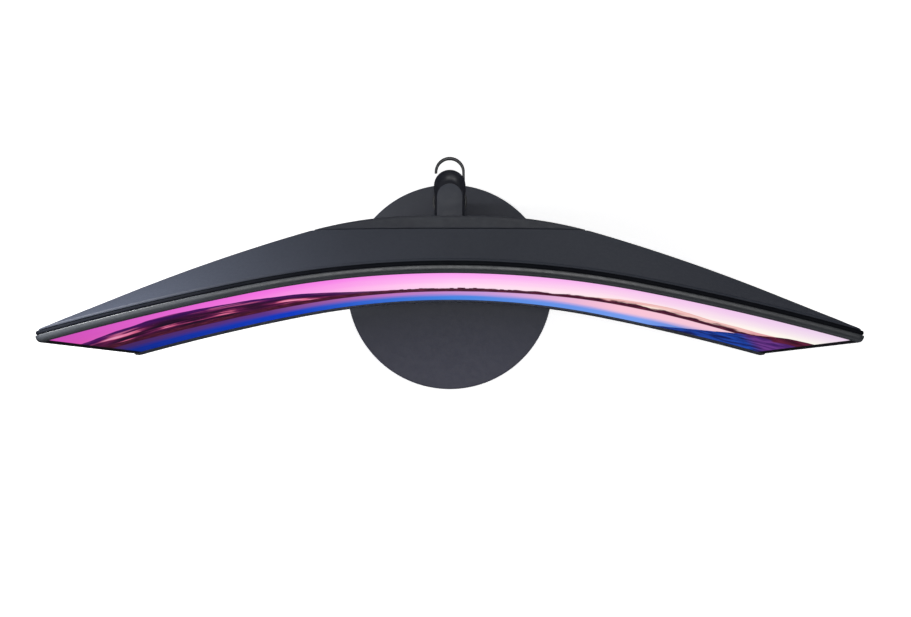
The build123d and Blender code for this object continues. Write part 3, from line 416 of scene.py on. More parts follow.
def still_water(view):
    """The sky's colours mirrored near the shore, blue in front."""
    g = view.g
    upper = g.ramp(view.side, [(0, (0.05, 0.015, 0.11)), (0.22, (0.11, 0.03, 0.22)),
                               (0.4, (0.50, 0.16, 0.50)), (0.55, (0.56, 0.30, 0.68)),
                               (0.75, (0.96, 0.55, 0.68)), (1, (0.9, 0.6, 0.7))])
    lower = g.ramp(view.side, [(0, (0.0, 0.018, 0.26)), (0.25, (0.0, 0.04, 0.52)),
                               (0.5, (0.05, 0.22, 0.74)), (0.8, (0.18, 0.34, 0.86)),
                               (1, (0.03, 0.06, 0.36))])
    ripple = view.swing(view.grain(5, 40, view.w), 0.16)
    return g.mix(g.span(view.total(view.w, ripple), 0.32, 0.12), upper, lower)


def shores(view):
    """Layered hills left and right, a low town between them, and the water's edge."""
    g = view.g
    rugged = view.swing(view.grain(9, 9, view.w, 6), 0.07)
    slope = view.total(view.hump(-0.69, 0.26, 0.25), view.hump(-0.95, 0.5, 0.20),
                       view.hump(-0.42, 0.16, 0.12), view.hump(0.55, 0.19, 0.24),
                       view.hump(0.9, 0.25, 0.12), 0.45)
    ridge = view.total(slope, rugged)
    strata = view.grain(6, 15, g.math("SUBTRACT", view.w, g.math("MULTIPLY", slope, 0.7)), 8)
    left = g.ramp(strata, [(0.40, (0.010, 0.0, 0.012)), (0.49, (0.045, 0.001, 0.03)),
                           (0.56, (0.14, 0.008, 0.07)), (0.62, (0.72, 0.13, 0.26)),
                           (0.7, (0.9, 0.35, 0.55))])
    right = g.ramp(strata, [(0.36, (0.16, 0.02, 0.05)), (0.44, (0.70, 0.30, 0.33)),
                            (0.52, (1.0, 0.76, 0.68)), (0.66, (1.0, 0.9, 0.76))])
    hills = g.mix(g.span(view.side, 0.5, 0.78), left, right)
    veil = g.span(g.math("SUBTRACT", view.w, ridge), -0.16, 0.0)
    crest = g.mix(g.span(view.side, 0.3, 0.7), (0.045, 0.0, 0.11), (0.80, 0.40, 0.40))
    hills = g.mix(g.math("MULTIPLY", veil, 0.8), hills, crest)
    block = g.math("FLOOR", g.math("MULTIPLY", view.u, 90))
    chance = g.nodes.new("ShaderNodeTexWhiteNoise")
    chance.noise_dimensions = "1D"
    g.join(block, chance.inputs["W"])
    near_middle = view.hump(0.05, 0.24, 0.045)
    roofs = view.total(0.475, g.math("MULTIPLY", chance.outputs["Value"], near_middle))
    edge = view.total(view.hump(0.55, 0.3, 0.13), 0.36, view.swing(view.grain(3, 3, view.w), 0.05))
    town = g.mix(g.span(view.grain(30, 60, view.w), 0.45, 0.7), (0.035, 0.001, 0.014), (0.16, 0.02, 0.05))
    return ridge, hills, roofs, town, edge


def display(name):
    """Lit panel: a made-up dusk landscape over still water, black outside the picture."""
    g = Graph(name)
    view = Scenery(g)
    ridge, hills, roofs, town, edge = shores(view)
    seen = view.below(ridge, dusk_sky(view), hills)
    seen = view.below(roofs, seen, town, 0.002)
    treetops = view.swing(view.grain(22, 12, view.w, 8), 0.18)
    foot = view.total(edge, 0.09, view.hump(0.25, 0.5, 0.03), treetops)
    seen = view.below(foot, seen, town, 0.02)
    seen = view.below(edge, seen, still_water(view), 0.01)
    bank = view.total(view.hump(1.0, 0.26, 0.78), view.swing(view.grain(6, 6, view.w), 0.1), -0.12)
    blades = g.span(view.grain(14, 14, view.w), 0.35, 0.65)
    grass = g.mix(blades, (0.002, 0.004, 0.07), (0.01, 0.06, 0.40))
    slope = g.mix(blades, (0.05, 0.008, 0.12), (0.16, 0.04, 0.26))
    lean = g.math("SUBTRACT", view.u, g.math("MULTIPLY", view.w, -0.35))
    grass = g.mix(g.span(lean, 0.98, 1.04), grass, slope)
    bush = g.mix(blades, (0.035, 0.001, 0.012), (0.13, 0.01, 0.04))
    grass = g.mix(g.span(g.math("ADD", view.w, view.swing(blades, 0.06)), 0.44, 0.47), grass, bush)
    seen = view.below(bank, seen, grass)
    inside_u = g.math("LESS_THAN", g.math("ABSOLUTE", view.u), 1.0)
    inside_w = g.math("LESS_THAN", g.math("ABSOLUTE", g.math("SUBTRACT", view.w, 0.5)), 0.5)
    shown = g.mix(g.math("MULTIPLY", inside_u, inside_w), (0.0, 0.0, 0.0), seen)
    haze = g.span(g.noise(30), 0.3, 0.7, 0.28, 0.34)
    return g.fill(Base_Color=(0.004, 0.004, 0.005), Roughness=haze, Emission_Color=shown,
                  Emission_Strength=1.0, Specular_IOR_Level=0.06)


looks = {
    "textured_shell": textured_shell("fabric_pressed_plastic"),
    "display_glass": display("display_glass"),
    "circuit_board": circuit("circuit_board"),
    "foot_rubber": rubber("foot_rubber"),
    "optical_film": film("optical_film", (0.78, 0.8, 0.82), (0.86, 0.87, 0.88), 0.35),
    "clear_acrylic": film("clear_acrylic", (0.8, 0.84, 0.86), (0.88, 0.9, 0.92), 0.08, 0.9),
    "cable_film": film("cable_film", (0.70, 0.70, 0.68), (0.78, 0.78, 0.76), 0.35),
    "zinc_steel": metal("zinc_steel", (0.45, 0.46, 0.48), (0.60, 0.61, 0.63), 0.36, size=9),
    "bare_steel": metal("bare_steel", (0.42, 0.42, 0.43), (0.55, 0.55, 0.56), 0.3, (0.1, 1, 1)),
    "screw_steel": metal("screw_steel", (0.06, 0.06, 0.065), (0.10, 0.10, 0.105), 0.35),
    "socket_metal": metal("socket_metal", (0.50, 0.50, 0.51), (0.66, 0.66, 0.67), 0.26, (1, 0.1, 1)),
    "weight_steel": metal("weight_steel", (0.16, 0.16, 0.165), (0.24, 0.24, 0.245), 0.5, size=4),
    "stand_paint": painted("stand_paint", (0.058, 0.063, 0.082), (0.070, 0.076, 0.097), 0.5, 0.3),
    # neck_paint is a darker, glossier copy of stand_paint: its extra darkness is painted shade for the
    # neck's upright and sloping surfaces.
    "neck_paint": painted("neck_paint", (0.012, 0.013, 0.020), (0.016, 0.018, 0.026), 0.36),
}
# Moulded plastics: darker tone, lighter tone, roughness, specular level.
PLASTICS = {
    "housing_plastic": ((0.024, 0.027, 0.037), (0.028, 0.032, 0.043), 0.5, 0.3),
    "rim_plastic": ((0.024, 0.027, 0.032), (0.029, 0.033, 0.039), 0.36, 0.45),
    "chin_plastic": ((0.026, 0.029, 0.040), (0.032, 0.035, 0.048), 0.42, 0.3),
    # frame_plastic is near-black, far darker than the other plastics: black plastic darkened further as
    # painted shade for the shadow gaps.
    "frame_plastic": ((0.003, 0.004, 0.007), (0.005, 0.006, 0.009), 0.6, 0.06),
    "connector_plastic": ((0.55, 0.53, 0.47), (0.63, 0.61, 0.55), 0.4, 0.5),
    "socket_plastic": ((0.010, 0.010, 0.011), (0.016, 0.016, 0.017), 0.38, 0.5),
    "arm_cover_plastic": ((0.052, 0.057, 0.074), (0.060, 0.066, 0.085), 0.45, 0.3),
    "clip_plastic": ((0.028, 0.030, 0.034), (0.035, 0.037, 0.042), 0.38, 0.5),
    "plate_plastic": ((0.016, 0.017, 0.020), (0.021, 0.022, 0.026), 0.5, 0.5),
    "joystick_plastic": ((0.020, 0.021, 0.025), (0.026, 0.027, 0.032), 0.4, 0.5),
}
for name, values in PLASTICS.items():
    looks[name] = moulded(name, *values)


def dress(node):
    """Gives a carried-over CAD node its slot's procedural material."""
    node["finish"] = node.material_slots[0].material.name
    for slot in node.material_slots:
        slot.material = looks[slot.material.name]


for node in frame["nodes"].values():
    dress(node)


# ---- making pieces
def placed(name, data):
    """New object in the scene."""
    obj = bpy.data.objects.new(name, data)
    bpy.context.scene.collection.objects.link(obj)
    return obj


def raw_mesh(name, points, faces):
    """Mesh from millimetre points, its faces as they come."""
    mesh = bpy.data.meshes.new(name)
    mesh.from_pydata([Vector(p) * MM for p in points], [], faces)
    return mesh


def new_mesh(name, points, faces):
    """Mesh from millimetre points with its normals turned outwards."""
    mesh = raw_mesh(name, points, faces)
    return reshaped(mesh, lambda bm: bmesh.ops.recalc_face_normals(bm, faces=bm.faces))


def add_piece(name, mesh, slot, body, stands_for=(), crease=35):
    """Makes a mesh a piece that rides on a body in place of CAD nodes."""
    obj = placed(name, mesh)
    mesh.materials.clear()
    mesh.materials.append(looks[slot])
    mesh.shade_smooth()
    mesh.set_sharp_from_angle(angle=radians(crease))
    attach(obj, body)
    if stands_for:
        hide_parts(*stands_for)


def with_modifiers(mesh, *makers):
    """Applies modifiers to a mesh; each maker adds one to an object."""
    obj = placed("work", mesh)
    for maker in makers:
        maker(obj)
    graph = bpy.context.evaluated_depsgraph_get()
    made = bpy.data.meshes.new_from_object(obj.evaluated_get(graph))
    made.name = mesh.name
    bpy.data.objects.remove(obj)
    return made


def solidify(thickness):
    """Modifier maker: gives a skin an inward wall."""
    def maker(obj):
        modifier = obj.modifiers.new("wall", "SOLIDIFY")
        modifier.thickness = thickness * MM
        modifier.offset = -1
        modifier.use_even_offset = True
    return maker


def bevel(width, angle=30):
    """Modifier maker: rounds edges sharper than angle degrees."""
    def maker(obj):
        modifier = obj.modifiers.new("edges", "BEVEL")
        modifier.width = width * MM
        modifier.segments = 2
        modifier.limit_method = "ANGLE"
        modifier.angle_limit = radians(angle)
        modifier.use_clamp_overlap = False
        modifier.miter_outer = "MITER_ARC"
    return maker


def cut(cutter):
    """Modifier maker: takes the cutter object away."""
    def maker(obj):
        modifier = obj.modifiers.new("cut", "BOOLEAN")
        modifier.operation = "DIFFERENCE"
        modifier.solver = "EXACT"
        modifier.object = cutter
    return maker


def reshaped(mesh, change):
    """Runs a function on the mesh's editable form and writes it back."""
    bm = bmesh.new()
    bm.from_mesh(mesh)
    change(bm)
    bm.to_mesh(mesh)
    bm.free()
    return mesh


def joined(mesh, others):
    """The mesh with the others' faces added."""
    def add_others(bm):
        for other in others:
            bm.from_mesh(other)
    return reshaped(mesh, add_others)


def with_hole(mesh, hole, before=(), after=()):
    """The mesh less the hole's mesh, with other modifiers before and after the cut."""
    cutter = placed("cutter", hole)
    made = with_modifiers(mesh, *before, cut(cutter), *after)
    bpy.data.objects.remove(cutter)
    return made


def tube_faces(rows, count, closed=False):
    """Quads of a tube: rows of count points each, joined row to row and round."""
    faces = []
    for r in range(rows if closed else rows - 1):
        below, above = r * count, (r + 1) % rows * count
        for i in range(count):
            j = (i + 1) % count
            faces.append((below + i, below + j, above + j, above + i))
    return faces


def tube_mesh(name, rows, closed=False):
    """Closed mesh from rows of points, capped at both ends unless the rows close."""
    count = len(rows[0])
    faces = tube_faces(len(rows), count, closed)
    if not closed:
        last = (len(rows) - 1) * count
        faces.append(tuple(range(count)))
        faces.append(tuple(range(last, last + count)))
    return new_mesh(name, [p for row in rows for p in row], faces)


# ---- frames that follow the curved screen
def frame_rows(outline, profile):
    """Rows of points: the outline is (s, z, inward s, inward z), the profile (inset, depth)."""
    return [[screen_point(s + inset * inward_s, depth, z + inset * inward_z)
             for inset, depth in profile] for s, z, inward_s, inward_z in outline]


def corner(s, z, radius, start, end):
    """Outline points of one rounded corner, angles in degrees, seen with s to the right."""
    return [(s + radius * cos(t), z + radius * sin(t), -cos(t), -sin(t))
            for t in angles(start, end, 10)]


def arch_outline(half, top, bottom, radius):
    """Up the left side, over the top and down the right side."""
    outline = [(-half, z, 1, 0) for z in stations(bottom, top - radius, 60)[:-1]]
    outline += corner(-half + radius, top - radius, radius, 180, 90)
    outline += [(s, top, 0, -1) for s in stations(-half + radius, half - radius, 6)[1:-1]]
    outline += corner(half - radius, top - radius, radius, 90, 0)
    outline += [(half, z, -1, 0) for z in stations(top - radius, bottom, 60)[1:]]
    return outline


def ring_outline(half, top, bottom, radius, low_radius):
    """The arch, closed along the bottom."""
    outline = arch_outline(half, top, bottom + low_radius, radius)[:-1]
    outline += corner(half - low_radius, bottom + low_radius, low_radius, 0, -90)
    outline += [(s, bottom, 0, 1) for s in stations(half - low_radius, low_radius - half, 6)[1:-1]]
    outline += corner(low_radius - half, bottom + low_radius, low_radius, -90, -180)[:-1]
    return outline


def screen_rim():
    """Rounded rim round the top and sides, with a lip over the glass's edge."""
    lip, front, rear, wall = 4.2, -0.9, 5.8, 2.4
    lip_back, lip_chamfer = -0.1, 0.2
    round_in, round_deep, back_round, steps = 4.0, 5.4, 0.5, 14
    profile = [(lip, lip_back), (lip, front + lip_chamfer), (lip - lip_chamfer, front)]
    for turn in angles(0, 90, steps)[1:]:
        profile.append((round_in * (1 - sin(turn)), front + round_deep * (1 - cos(turn))))
    profile += arc_points(back_round, rear - back_round, back_round, 180, 90, 6)
    profile += [(wall, rear), (wall, lip_back)]
    outline = arch_outline(HALF_ARC, HEAD_TOP, CHIN_TOP + 0.2, CORNER_R)
    mesh = tube_mesh("screen_rim", frame_rows(outline, profile))
    add_piece("screen_rim", mesh, "rim_plastic", "head", ["front_rim"])


def shadow_frame():
    """Ring behind the rim, with a narrow rib between two shadow gaps."""
    # The gaps are a little shallower than the part's, so that the tips look round; the frame's near-black
    # colour paints the shade that the shallower gaps lose.
    front, rear, inset, depth_in, low_radius = 5.95, 9.5, 1.7, 13.0, 1.5
    rib_front, rib_rear, rib_inset, ease = 6.6, 8.8, 1.1, 0.35
    profile = [(inset, front), (inset, rib_front)]
    profile += arc_points(rib_inset + ease, rib_front + ease, ease, 270, 180, 4)
    profile += arc_points(rib_inset + ease, rib_rear - ease, ease, 180, 90, 4)
    profile += [(inset, rib_rear), (inset, rear), (depth_in, rear), (depth_in, front)]
    outline = ring_outline(HALF_ARC, HEAD_TOP, HEAD_BOTTOM, CORNER_R, low_radius)
    mesh = tube_mesh("shadow_frame", frame_rows(outline, profile), closed=True)
    add_piece("shadow_frame", mesh, "frame_plastic", "head", ["mid_frame"])


def lower_bar():
    """Hollow bar below the picture, its ends closed and rounded in plan."""
    front, inner, rear, floor_z = -2.2, -0.1, 5.8, HEAD_BOTTOM + 2.4
    top_round, low_round, back_round = 0.7, 1.3, 0.5
    end_wall, end_round, end_inset, end_share = 4.5, 3.0, 0.6, 0.95
    wall_trim, end_rise, steps = 0.12, 1.0, 8
    section = [(inner, CHIN_TOP)]
    section += arc_points(front + top_round, CHIN_TOP - top_round, top_round, 90, 180, 5)
    section += arc_points(front + low_round, HEAD_BOTTOM + low_round, low_round, 180, 270, 7)
    section += arc_points(rear - back_round, HEAD_BOTTOM + back_round, back_round, 270, 360, 3)
    section += [(rear, floor_z), (inner, floor_z)]

    def row(s, trim=0.0, filled=False):
        """Section at s, its front cut back by trim; filled rows reach back to close the end."""
        points = []
        for depth, z in section:
            if filled and depth == inner:
                depth = rear
                z = CHIN_TOP if z == CHIN_TOP else floor_z + end_rise
            points.append(screen_point(s, max(depth, front + trim), z))
        return points

    wall_s = HALF_ARC - end_wall
    ends = [(wall_s, wall_trim)]
    for turn in angles(0, 90, steps)[2:]:
        s = HALF_ARC - end_inset - end_round * (1 - sin(turn))
        ends.append((s, end_round * (1 - cos(turn)) * end_share))
    rows = [row(-s, trim, True) for s, trim in reversed(ends)]
    rows += [row(s) for s in stations(-wall_s, wall_s, 6)]
    rows += [row(s, trim, True) for s, trim in ends]
    mesh = tube_mesh("lower_bar", rows)
    add_piece("lower_bar", mesh, "chin_plastic", "head", ["bottom_chin"])


def screen_glass():
    """Curved panel that carries the picture inside a black border."""
    low, high, half = SCREEN_BOTTOM - 6.5, SCREEN_TOP + 5.4, ACTIVE_HALF + 5.6
    thick, ease = 1.4, 0.25
    section = [(ease, low), (0, low + ease), (0, high - ease)]
    section += [(ease, high), (thick, high), (thick, low)]
    rows = [[screen_point(s, depth, z) for depth, z in section] for s in stations(-half, half, 6)]
    mesh = tube_mesh("screen_glass", rows)
    add_piece("screen_glass", mesh, "display_glass", "head", ["lcd_panel"])


# ---- rear shell
COVER_END = HALF_ARC - COVER_INSET
COVER_TOP = HEAD_TOP - EDGE_INSET
COVER_LOW = HEAD_BOTTOM + EDGE_INSET
CREASE_EASE = 4.0
COVER_CORNER_R = 5.0
SKIN_END = plan_point(COVER_END - COVER_END_SLOPE, COVER_EDGE)[0]
TIP_LENGTH = 12.0             # the skin's ends turn forward over this length
TIP_TURN = 1.2                # and by this much


def eased(value, ease):
    """Zero below zero and straight above, with a rounded bend ease millimetres wide."""
    if value <= -ease:
        return 0.0
    if value >= ease:
        return value
    return (value + ease) ** 2 / (4 * ease)


def fullness(z):
    """0 at the thin upper and lower edges, 1 between the two creases."""
    top_drop = eased(z - CREASE_TOP, CREASE_EASE) / (COVER_TOP - CREASE_TOP)
    low_drop = eased(CREASE_BOTTOM - z, CREASE_EASE) / (CREASE_BOTTOM - COVER_LOW)
    return 1 - top_drop - low_drop


def rear_point(x, z):
    """Point of the outer skin, turned slightly forward over the last millimetres of each side."""
    thin = curve_y(x, COVER_EDGE)
    turn = max(0.0, (abs(x) - SKIN_END + TIP_LENGTH) / TIP_LENGTH)
    return (x, thin + fullness(z) * (full_depth(x) - thin) - TIP_TURN * turn * turn, z)


def rear_levels():
    """Heights of the skin's rows, closer together at the edges and creases."""
    turns = angles(0, 90, 6)
    low, high = COVER_LOW + COVER_CORNER_R, COVER_TOP - COVER_CORNER_R
    levels = [COVER_LOW + COVER_CORNER_R * (1 - cos(t)) for t in turns[:-1]]
    levels += stations(low, CREASE_BOTTOM - CREASE_EASE, 2.5)
    levels += stations(CREASE_BOTTOM - CREASE_EASE, CREASE_BOTTOM + CREASE_EASE, 1)[1:]
    levels += stations(CREASE_BOTTOM + CREASE_EASE, CREASE_TOP - CREASE_EASE, 9)[1:]
    levels += stations(CREASE_TOP - CREASE_EASE, CREASE_TOP + CREASE_EASE, 1)[1:]
    levels += stations(CREASE_TOP + CREASE_EASE, high, 1.5)[1:]
    levels += [COVER_TOP - COVER_CORNER_R * (1 - sin(t)) for t in turns[1:]]
    return levels


def rear_skin(name):
    """Outer skin of the whole rear, as rows of quads from bottom to top."""
    tip_start, corner_reach = SKIN_END - TIP_LENGTH, 20.0
    columns = stations(-SKIN_END, -tip_start, 2)
    columns += stations(-tip_start, tip_start, 4.5)[1:]
    columns += stations(tip_start, SKIN_END, 2)[1:]
    points = []
    levels = rear_levels()
    for z in levels:
        to_edge = min(z - COVER_LOW, COVER_TOP - z)
        into_corner = max(0.0, COVER_CORNER_R - to_edge)
        trim = COVER_CORNER_R - sqrt(COVER_CORNER_R ** 2 - into_corner ** 2)
        for x in columns:
            outer = max(0.0, abs(x) - (SKIN_END - corner_reach)) / corner_reach
            pulled = x - trim * outer * (1 if x > 0 else -1)
            points.append(rear_point(pulled, z))
    count = len(columns)
    faces = []
    for r in range(len(levels) - 1):
        for i in range(count - 1):
            a = r * count + i
            faces.append((a, a + count, a + count + 1, a + 1))
    return raw_mesh(name, points, faces)


def keep_rear(bm, y, rearward):
    """Cuts a skin at one Y and keeps the rearward or the forward side."""
    geometry = bm.verts[:] + bm.edges[:] + bm.faces[:]
    bmesh.ops.bisect_plane(bm, geom=geometry, plane_co=(0, y * MM, 0), plane_no=(0, 1, 0),
                           clear_outer=not rearward, clear_inner=rearward)


def arc_at(x, depth):
    """Arc length along the screen of a point at this X and depth."""
    side = 1 if x >= 0 else -1
    radius = R_MID + depth
    if abs(x) <= radius * sin(MID_ANGLE):
        return side * R_MID * asin(abs(x) / radius)
    angle = asin((abs(x) - END_CENTRE_X) / (R_END + depth))
    return side * (HALF_MID + R_END * (angle - MID_ANGLE))


def fold_forward(bm):
    """Extends the skin's outer edge forward to the shadow gap, flaring it at the sides."""
    seam_margin, flare, flare_length = 2.0, 1.4, 6.0
    flare_start = COVER_END - 8.0

    def is_outer(vertex):
        return vertex.co.y < (SEAM_Y - seam_margin) * MM
    rim_edges = [e for e in bm.edges if e.is_boundary and all(is_outer(v) for v in e.verts)]
    made = bmesh.ops.extrude_edge_only(bm, edges=rim_edges)["geom"]
    for vertex in [g for g in made if isinstance(g, bmesh.types.BMVert)]:
        x, z = vertex.co.x / MM, vertex.co.z / MM
        s = arc_at(x, COVER_EDGE)
        grow = max(0.0, min(1.0, (abs(s) - flare_start) / flare_length)) * flare
        x, y = plan_point(s + grow * (1 if s > 0 else -1), COVER_FRONT)
        vertex.co = Vector((x, y, z)) * MM


def seam_ledge():
    """Strip of skin, set in behind the seam window's edge, that closes the seam."""
    set_in, thick, ahead, behind = 2.9, 1.6, 6.0, 0.9

    def keep_strip(bm):
        bmesh.ops.translate(bm, verts=bm.verts, vec=(0, -set_in * MM, 0))
        keep_rear(bm, SEAM_Y - ahead, True)
        keep_rear(bm, SEAM_Y + behind, False)
    return with_modifiers(reshaped(rear_skin("ledge"), keep_strip), solidify(thick))


def rear_cover():
    """Textured shell with the seam window, and the ledge that closes the seam."""
    well_r, edge = 11.15, 0.3

    def keep_front(bm):
        keep_rear(bm, SEAM_Y - SEAM_GAP / 2, False)
        fold_forward(bm)
    skin = reshaped(rear_skin("rear_shell"), keep_front)
    well = rod_mesh("well_cut", well_r, jog_point(-30), jog_point(10))
    mesh = with_hole(skin, well, [solidify(WALL)], [bevel(edge)])
    joined(mesh, [seam_ledge()])
    add_piece("rear_shell", mesh, "textured_shell", "head", ["rear_cover"])


def jog_point(out):
    """Point on the joystick's axis, out millimetres from the cover."""
    slope = asin((JOG_X - WING_CENTRE_X) / R_WING)
    return (JOG_X + out * sin(slope), full_depth(JOG_X) + out * cos(slope), JOG_Z)


def rod_mesh(name, radius, start, end, count=64):
    """Cylinder between two points."""
    start, end = Vector(start), Vector(end)
    axis = (end - start).normalized()
    across = axis.orthogonal().normalized()
    other = axis.cross(across)
    rows = []
    for centre in (start, end):
        rows.append([centre + radius * (across * cos(t) + other * sin(t))
                     for t in full_turn(count)])
    return tube_mesh(name, rows)


def slab_mesh(name, outline, y0, y1):
    """Prism along Y from an (x, z) outline."""
    return tube_mesh(name, [[(x, y, z) for x, z in outline] for y in (y0, y1)])


def rounded_box(x0, x1, z0, z1, radius, steps=6):
    """Anticlockwise outline of a box with rounded corners."""
    outline = arc_points(x1 - radius, z1 - radius, radius, 0, 90, steps)
    outline += arc_points(x0 + radius, z1 - radius, radius, 90, 180, steps)
    outline += arc_points(x0 + radius, z0 + radius, radius, 180, 270, steps)
    outline += arc_points(x1 - radius, z0 + radius, radius, 270, 360, steps)
    return outline


def housing_cutters():
    """Everything that is cut out of the housing, as one mesh."""
    slot_half, port_half, front, back = 17.5, 72.0, 10.0, 60.0
    vent_pitch, vent_half = 9.0, 1.5
    slot = rounded_box(-slot_half, slot_half, ARM_Z - 18.0, ARM_Z + 20.6, 4.0)
    ports = rounded_box(-port_half, port_half, 182.5, 213.5, 1.0)
    meshes = [slab_mesh("slot", slot, 15.0, back), slab_mesh("port_window", ports, front, back)]
    for radius, places in ((2.0, VESA_HOLES), (SCREW_WELL_R, HOUSING_SCREWS)):
        for x, z in places:
            meshes.append(rod_mesh("screw_hole", radius, (x, front, z), (x, back, z), 40))
    for i in range(-8, 9):
        x = i * vent_pitch
        vent = rounded_box(x - vent_half, x + vent_half, 126, 142, vent_half - 0.05)
        meshes.append(slab_mesh("vent", vent, 20, back))
    return joined(bpy.data.meshes.new("housing_cutters"), meshes)


def rear_housing():
    """Smooth central housing with its cutouts, seam edge and screw bosses."""
    def keep_back(bm):
        keep_rear(bm, SEAM_Y + SEAM_GAP / 2, True)
    skin = reshaped(rear_skin("centre_housing"), keep_back)
    mesh = with_hole(skin, housing_cutters(), [solidify(WALL)], [bevel(0.25)])
    joined(mesh, [sleeve_mesh(x, z, 4.6, SCREW_WELL_R, 14.3, full_depth(x) - 1.2)
                  for x, z in HOUSING_SCREWS])
    add_piece("centre_housing", mesh, "housing_plastic", "head", ["rear_housing"])


def sleeve_mesh(x, z, outer, inner, front, rear):
    """Short tube along Y."""
    rows = [[(x + radius * cos(t), y, z + radius * sin(t)) for t in full_turn(40)]
            for radius, y in ((outer, front), (outer, rear), (inner, rear), (inner, front))]
    return tube_mesh("sleeve", rows, closed=True)


# ---- stand
BASE_R = 122.0
BASE_TOP = 10.0
POLE_Y = 83.5
POLE_R = 16.0
BEND_R = 20.0
ARM_FLAT = 9.3
ARM_FRONT = 26.0


def turned_mesh(name, profile):
    """Solid of revolution about Z; the profile starts and ends on the axis."""
    count = 256
    turns = full_turn(count)
    points = [(0, 0, profile[0][1])]
    points += [(r * cos(t), r * sin(t), z) for r, z in profile[1:-1] for t in turns]
    points.append((0, 0, profile[-1][1]))
    last = len(points) - 1
    faces = [(0, 1 + (i + 1) % count, 1 + i) for i in range(count)]
    faces += [tuple(1 + i for i in face) for face in tube_faces(len(profile) - 2, count)]
    top = last - count
    faces += [(last, top + i, top + (i + 1) % count) for i in range(count)]
    return new_mesh(name, points, faces)


def stand_base():
    """Turned disc with a soft upper edge and a step for the bottom plate."""
    wall, under, low, edge, low_edge, clearance = 3.0, 8.5, 1.6, 1.7, 0.4, 0.25
    profile = [(0, under), (60, under), (BASE_R - wall, under), (BASE_R - wall, low)]
    profile += [(BASE_R - low_edge, low), (BASE_R, low + low_edge)]
    profile += arc_points(BASE_R - edge, BASE_TOP - edge, edge, 0, 90, 8)
    profile += [(r, BASE_TOP) for r in (110, 60, 0)]
    disc = turned_mesh("stand_base", profile)
    hole = rod_mesh("pole_cut", POLE_R + clearance, (0, POLE_Y, 0), (0, POLE_Y, 20), 96)
    mesh = with_hole(disc, hole)
    add_piece("stand_base", mesh, "stand_paint", "root", ["base_cover"])


def soft_below(value, limit, ease):
    """The value, but never above the limit, with a rounded bend."""
    return limit - eased(limit - value, ease)


def arm_radius(y):
    """The arm is slightly waisted between the bend and the housing, and thinner in front."""
    waist_y, waist_length, waist_depth = 66.0, 13.0, 1.35
    taper_length, taper_depth = 14.0, 0.5
    waist = waist_depth * eased_bell((y - waist_y) / waist_length)
    taper = taper_depth * max(0.0, min(1.0, (waist_y - y) / taper_length))
    return POLE_R - waist - taper


def eased_bell(t):
    """Smooth bell, 1 at zero and 0 past one."""
    return (1 - t * t) ** 2 if abs(t) < 1 else 0.0


def neck():
    """Pole and arm in one bent tube, planed flat along the arm's top."""
    start_z, corner_y, corner_z = 8.4, POLE_Y - BEND_R, ARM_Z - BEND_R
    pole_wall, arm_wall, flat_wall, flat_ease = 2.4, 1.0, 1.2, 0.7
    bend_steps, count = 32, 160
    path = [((0, POLE_Y, z), (0, 1, 0)) for z in stations(start_z, corner_z, 8)]
    for turn in angles(0, 90, bend_steps)[1:]:
        centre = (0, corner_y + BEND_R * cos(turn), corner_z + BEND_R * sin(turn))
        path.append((centre, (0, cos(turn), sin(turn))))
    path += [((0, y, ARM_Z), (0, 0, 1)) for y in stations(corner_y, ARM_FRONT, 1.5)[1:]]

    def ring(centre, out, shrink, flat):
        radius = arm_radius(centre[1]) if centre[1] < POLE_Y - 0.01 else POLE_R
        radius -= shrink
        points = []
        for turn in full_turn(count):
            x = radius * sin(turn)
            y = centre[1] + radius * cos(turn) * out[1]
            z = centre[2] + radius * cos(turn) * out[2]
            points.append((x, y, soft_below(z, ARM_Z + flat, flat_ease)))
        return points

    outer = [ring(centre, out, 0.0, ARM_FLAT) for centre, out in path]
    inner = []
    for centre, out in path:
        wall = pole_wall if centre[1] > corner_y else arm_wall
        inner.append(ring(centre, out, wall, ARM_FLAT - flat_wall))
    mesh = tube_mesh("neck", outer + inner[::-1], closed=True)
    add_piece("neck", mesh, "stand_paint", "root", ["neck_tube"], crease=50)
    # The neck takes the darker copy of the stand paint, as painted shade.
    mesh.materials[0] = looks["neck_paint"]


def plate_mesh(name, outline, low, high, edge):
    """Flat plate from an anticlockwise (x, y) outline, its upper edge rounded."""
    count = len(outline)

    def inset(distance):
        points = []
        for i, (x, y) in enumerate(outline):
            before, after = outline[i - 1], outline[(i + 1) % count]
            along = Vector((after[0] - before[0], after[1] - before[1])).normalized()
            points.append((x - along.y * distance, y + along.x * distance))
        return points

    rows = [[(x, y, low) for x, y in outline]]
    for turn in angles(0, 90, 4):
        ring = inset(edge * (1 - cos(turn)))
        rows.append([(x, y, high - edge + edge * sin(turn)) for x, y in ring])
    return tube_mesh(name, rows)


def arm_strip():
    """Strip let into the arm's flat top, with a half-round rear end."""
    half, rear, front, sunk, proud, edge = 12.6, 81.7, ARM_FRONT + 7, 0.05, 1.0, 0.5
    outline = [(half, y) for y in stations(front, rear - half, 4)[:-1]]
    outline += arc_points(0, rear - half, half, 0, 180, 48)
    outline += [(-half, y) for y in stations(rear - half, front, 4)[1:]]
    flat_z = ARM_Z + ARM_FLAT
    mesh = plate_mesh("arm_strip", outline, flat_z - sunk, flat_z + proud, edge)
    add_piece("arm_strip", mesh, "arm_cover_plastic", "root", ["arm_top_cover"])


def band_rows(path, thickness, low, high, edge):
    """Rows of a flat band on edge that follows an (x, y) path of (point, side normal)."""
    half = thickness / 2
    section = rounded_box(-half, half, low, high, edge, 3)
    return [[(x + nx * a, y + ny * a, z) for a, z in section] for (x, y), (nx, ny) in path]


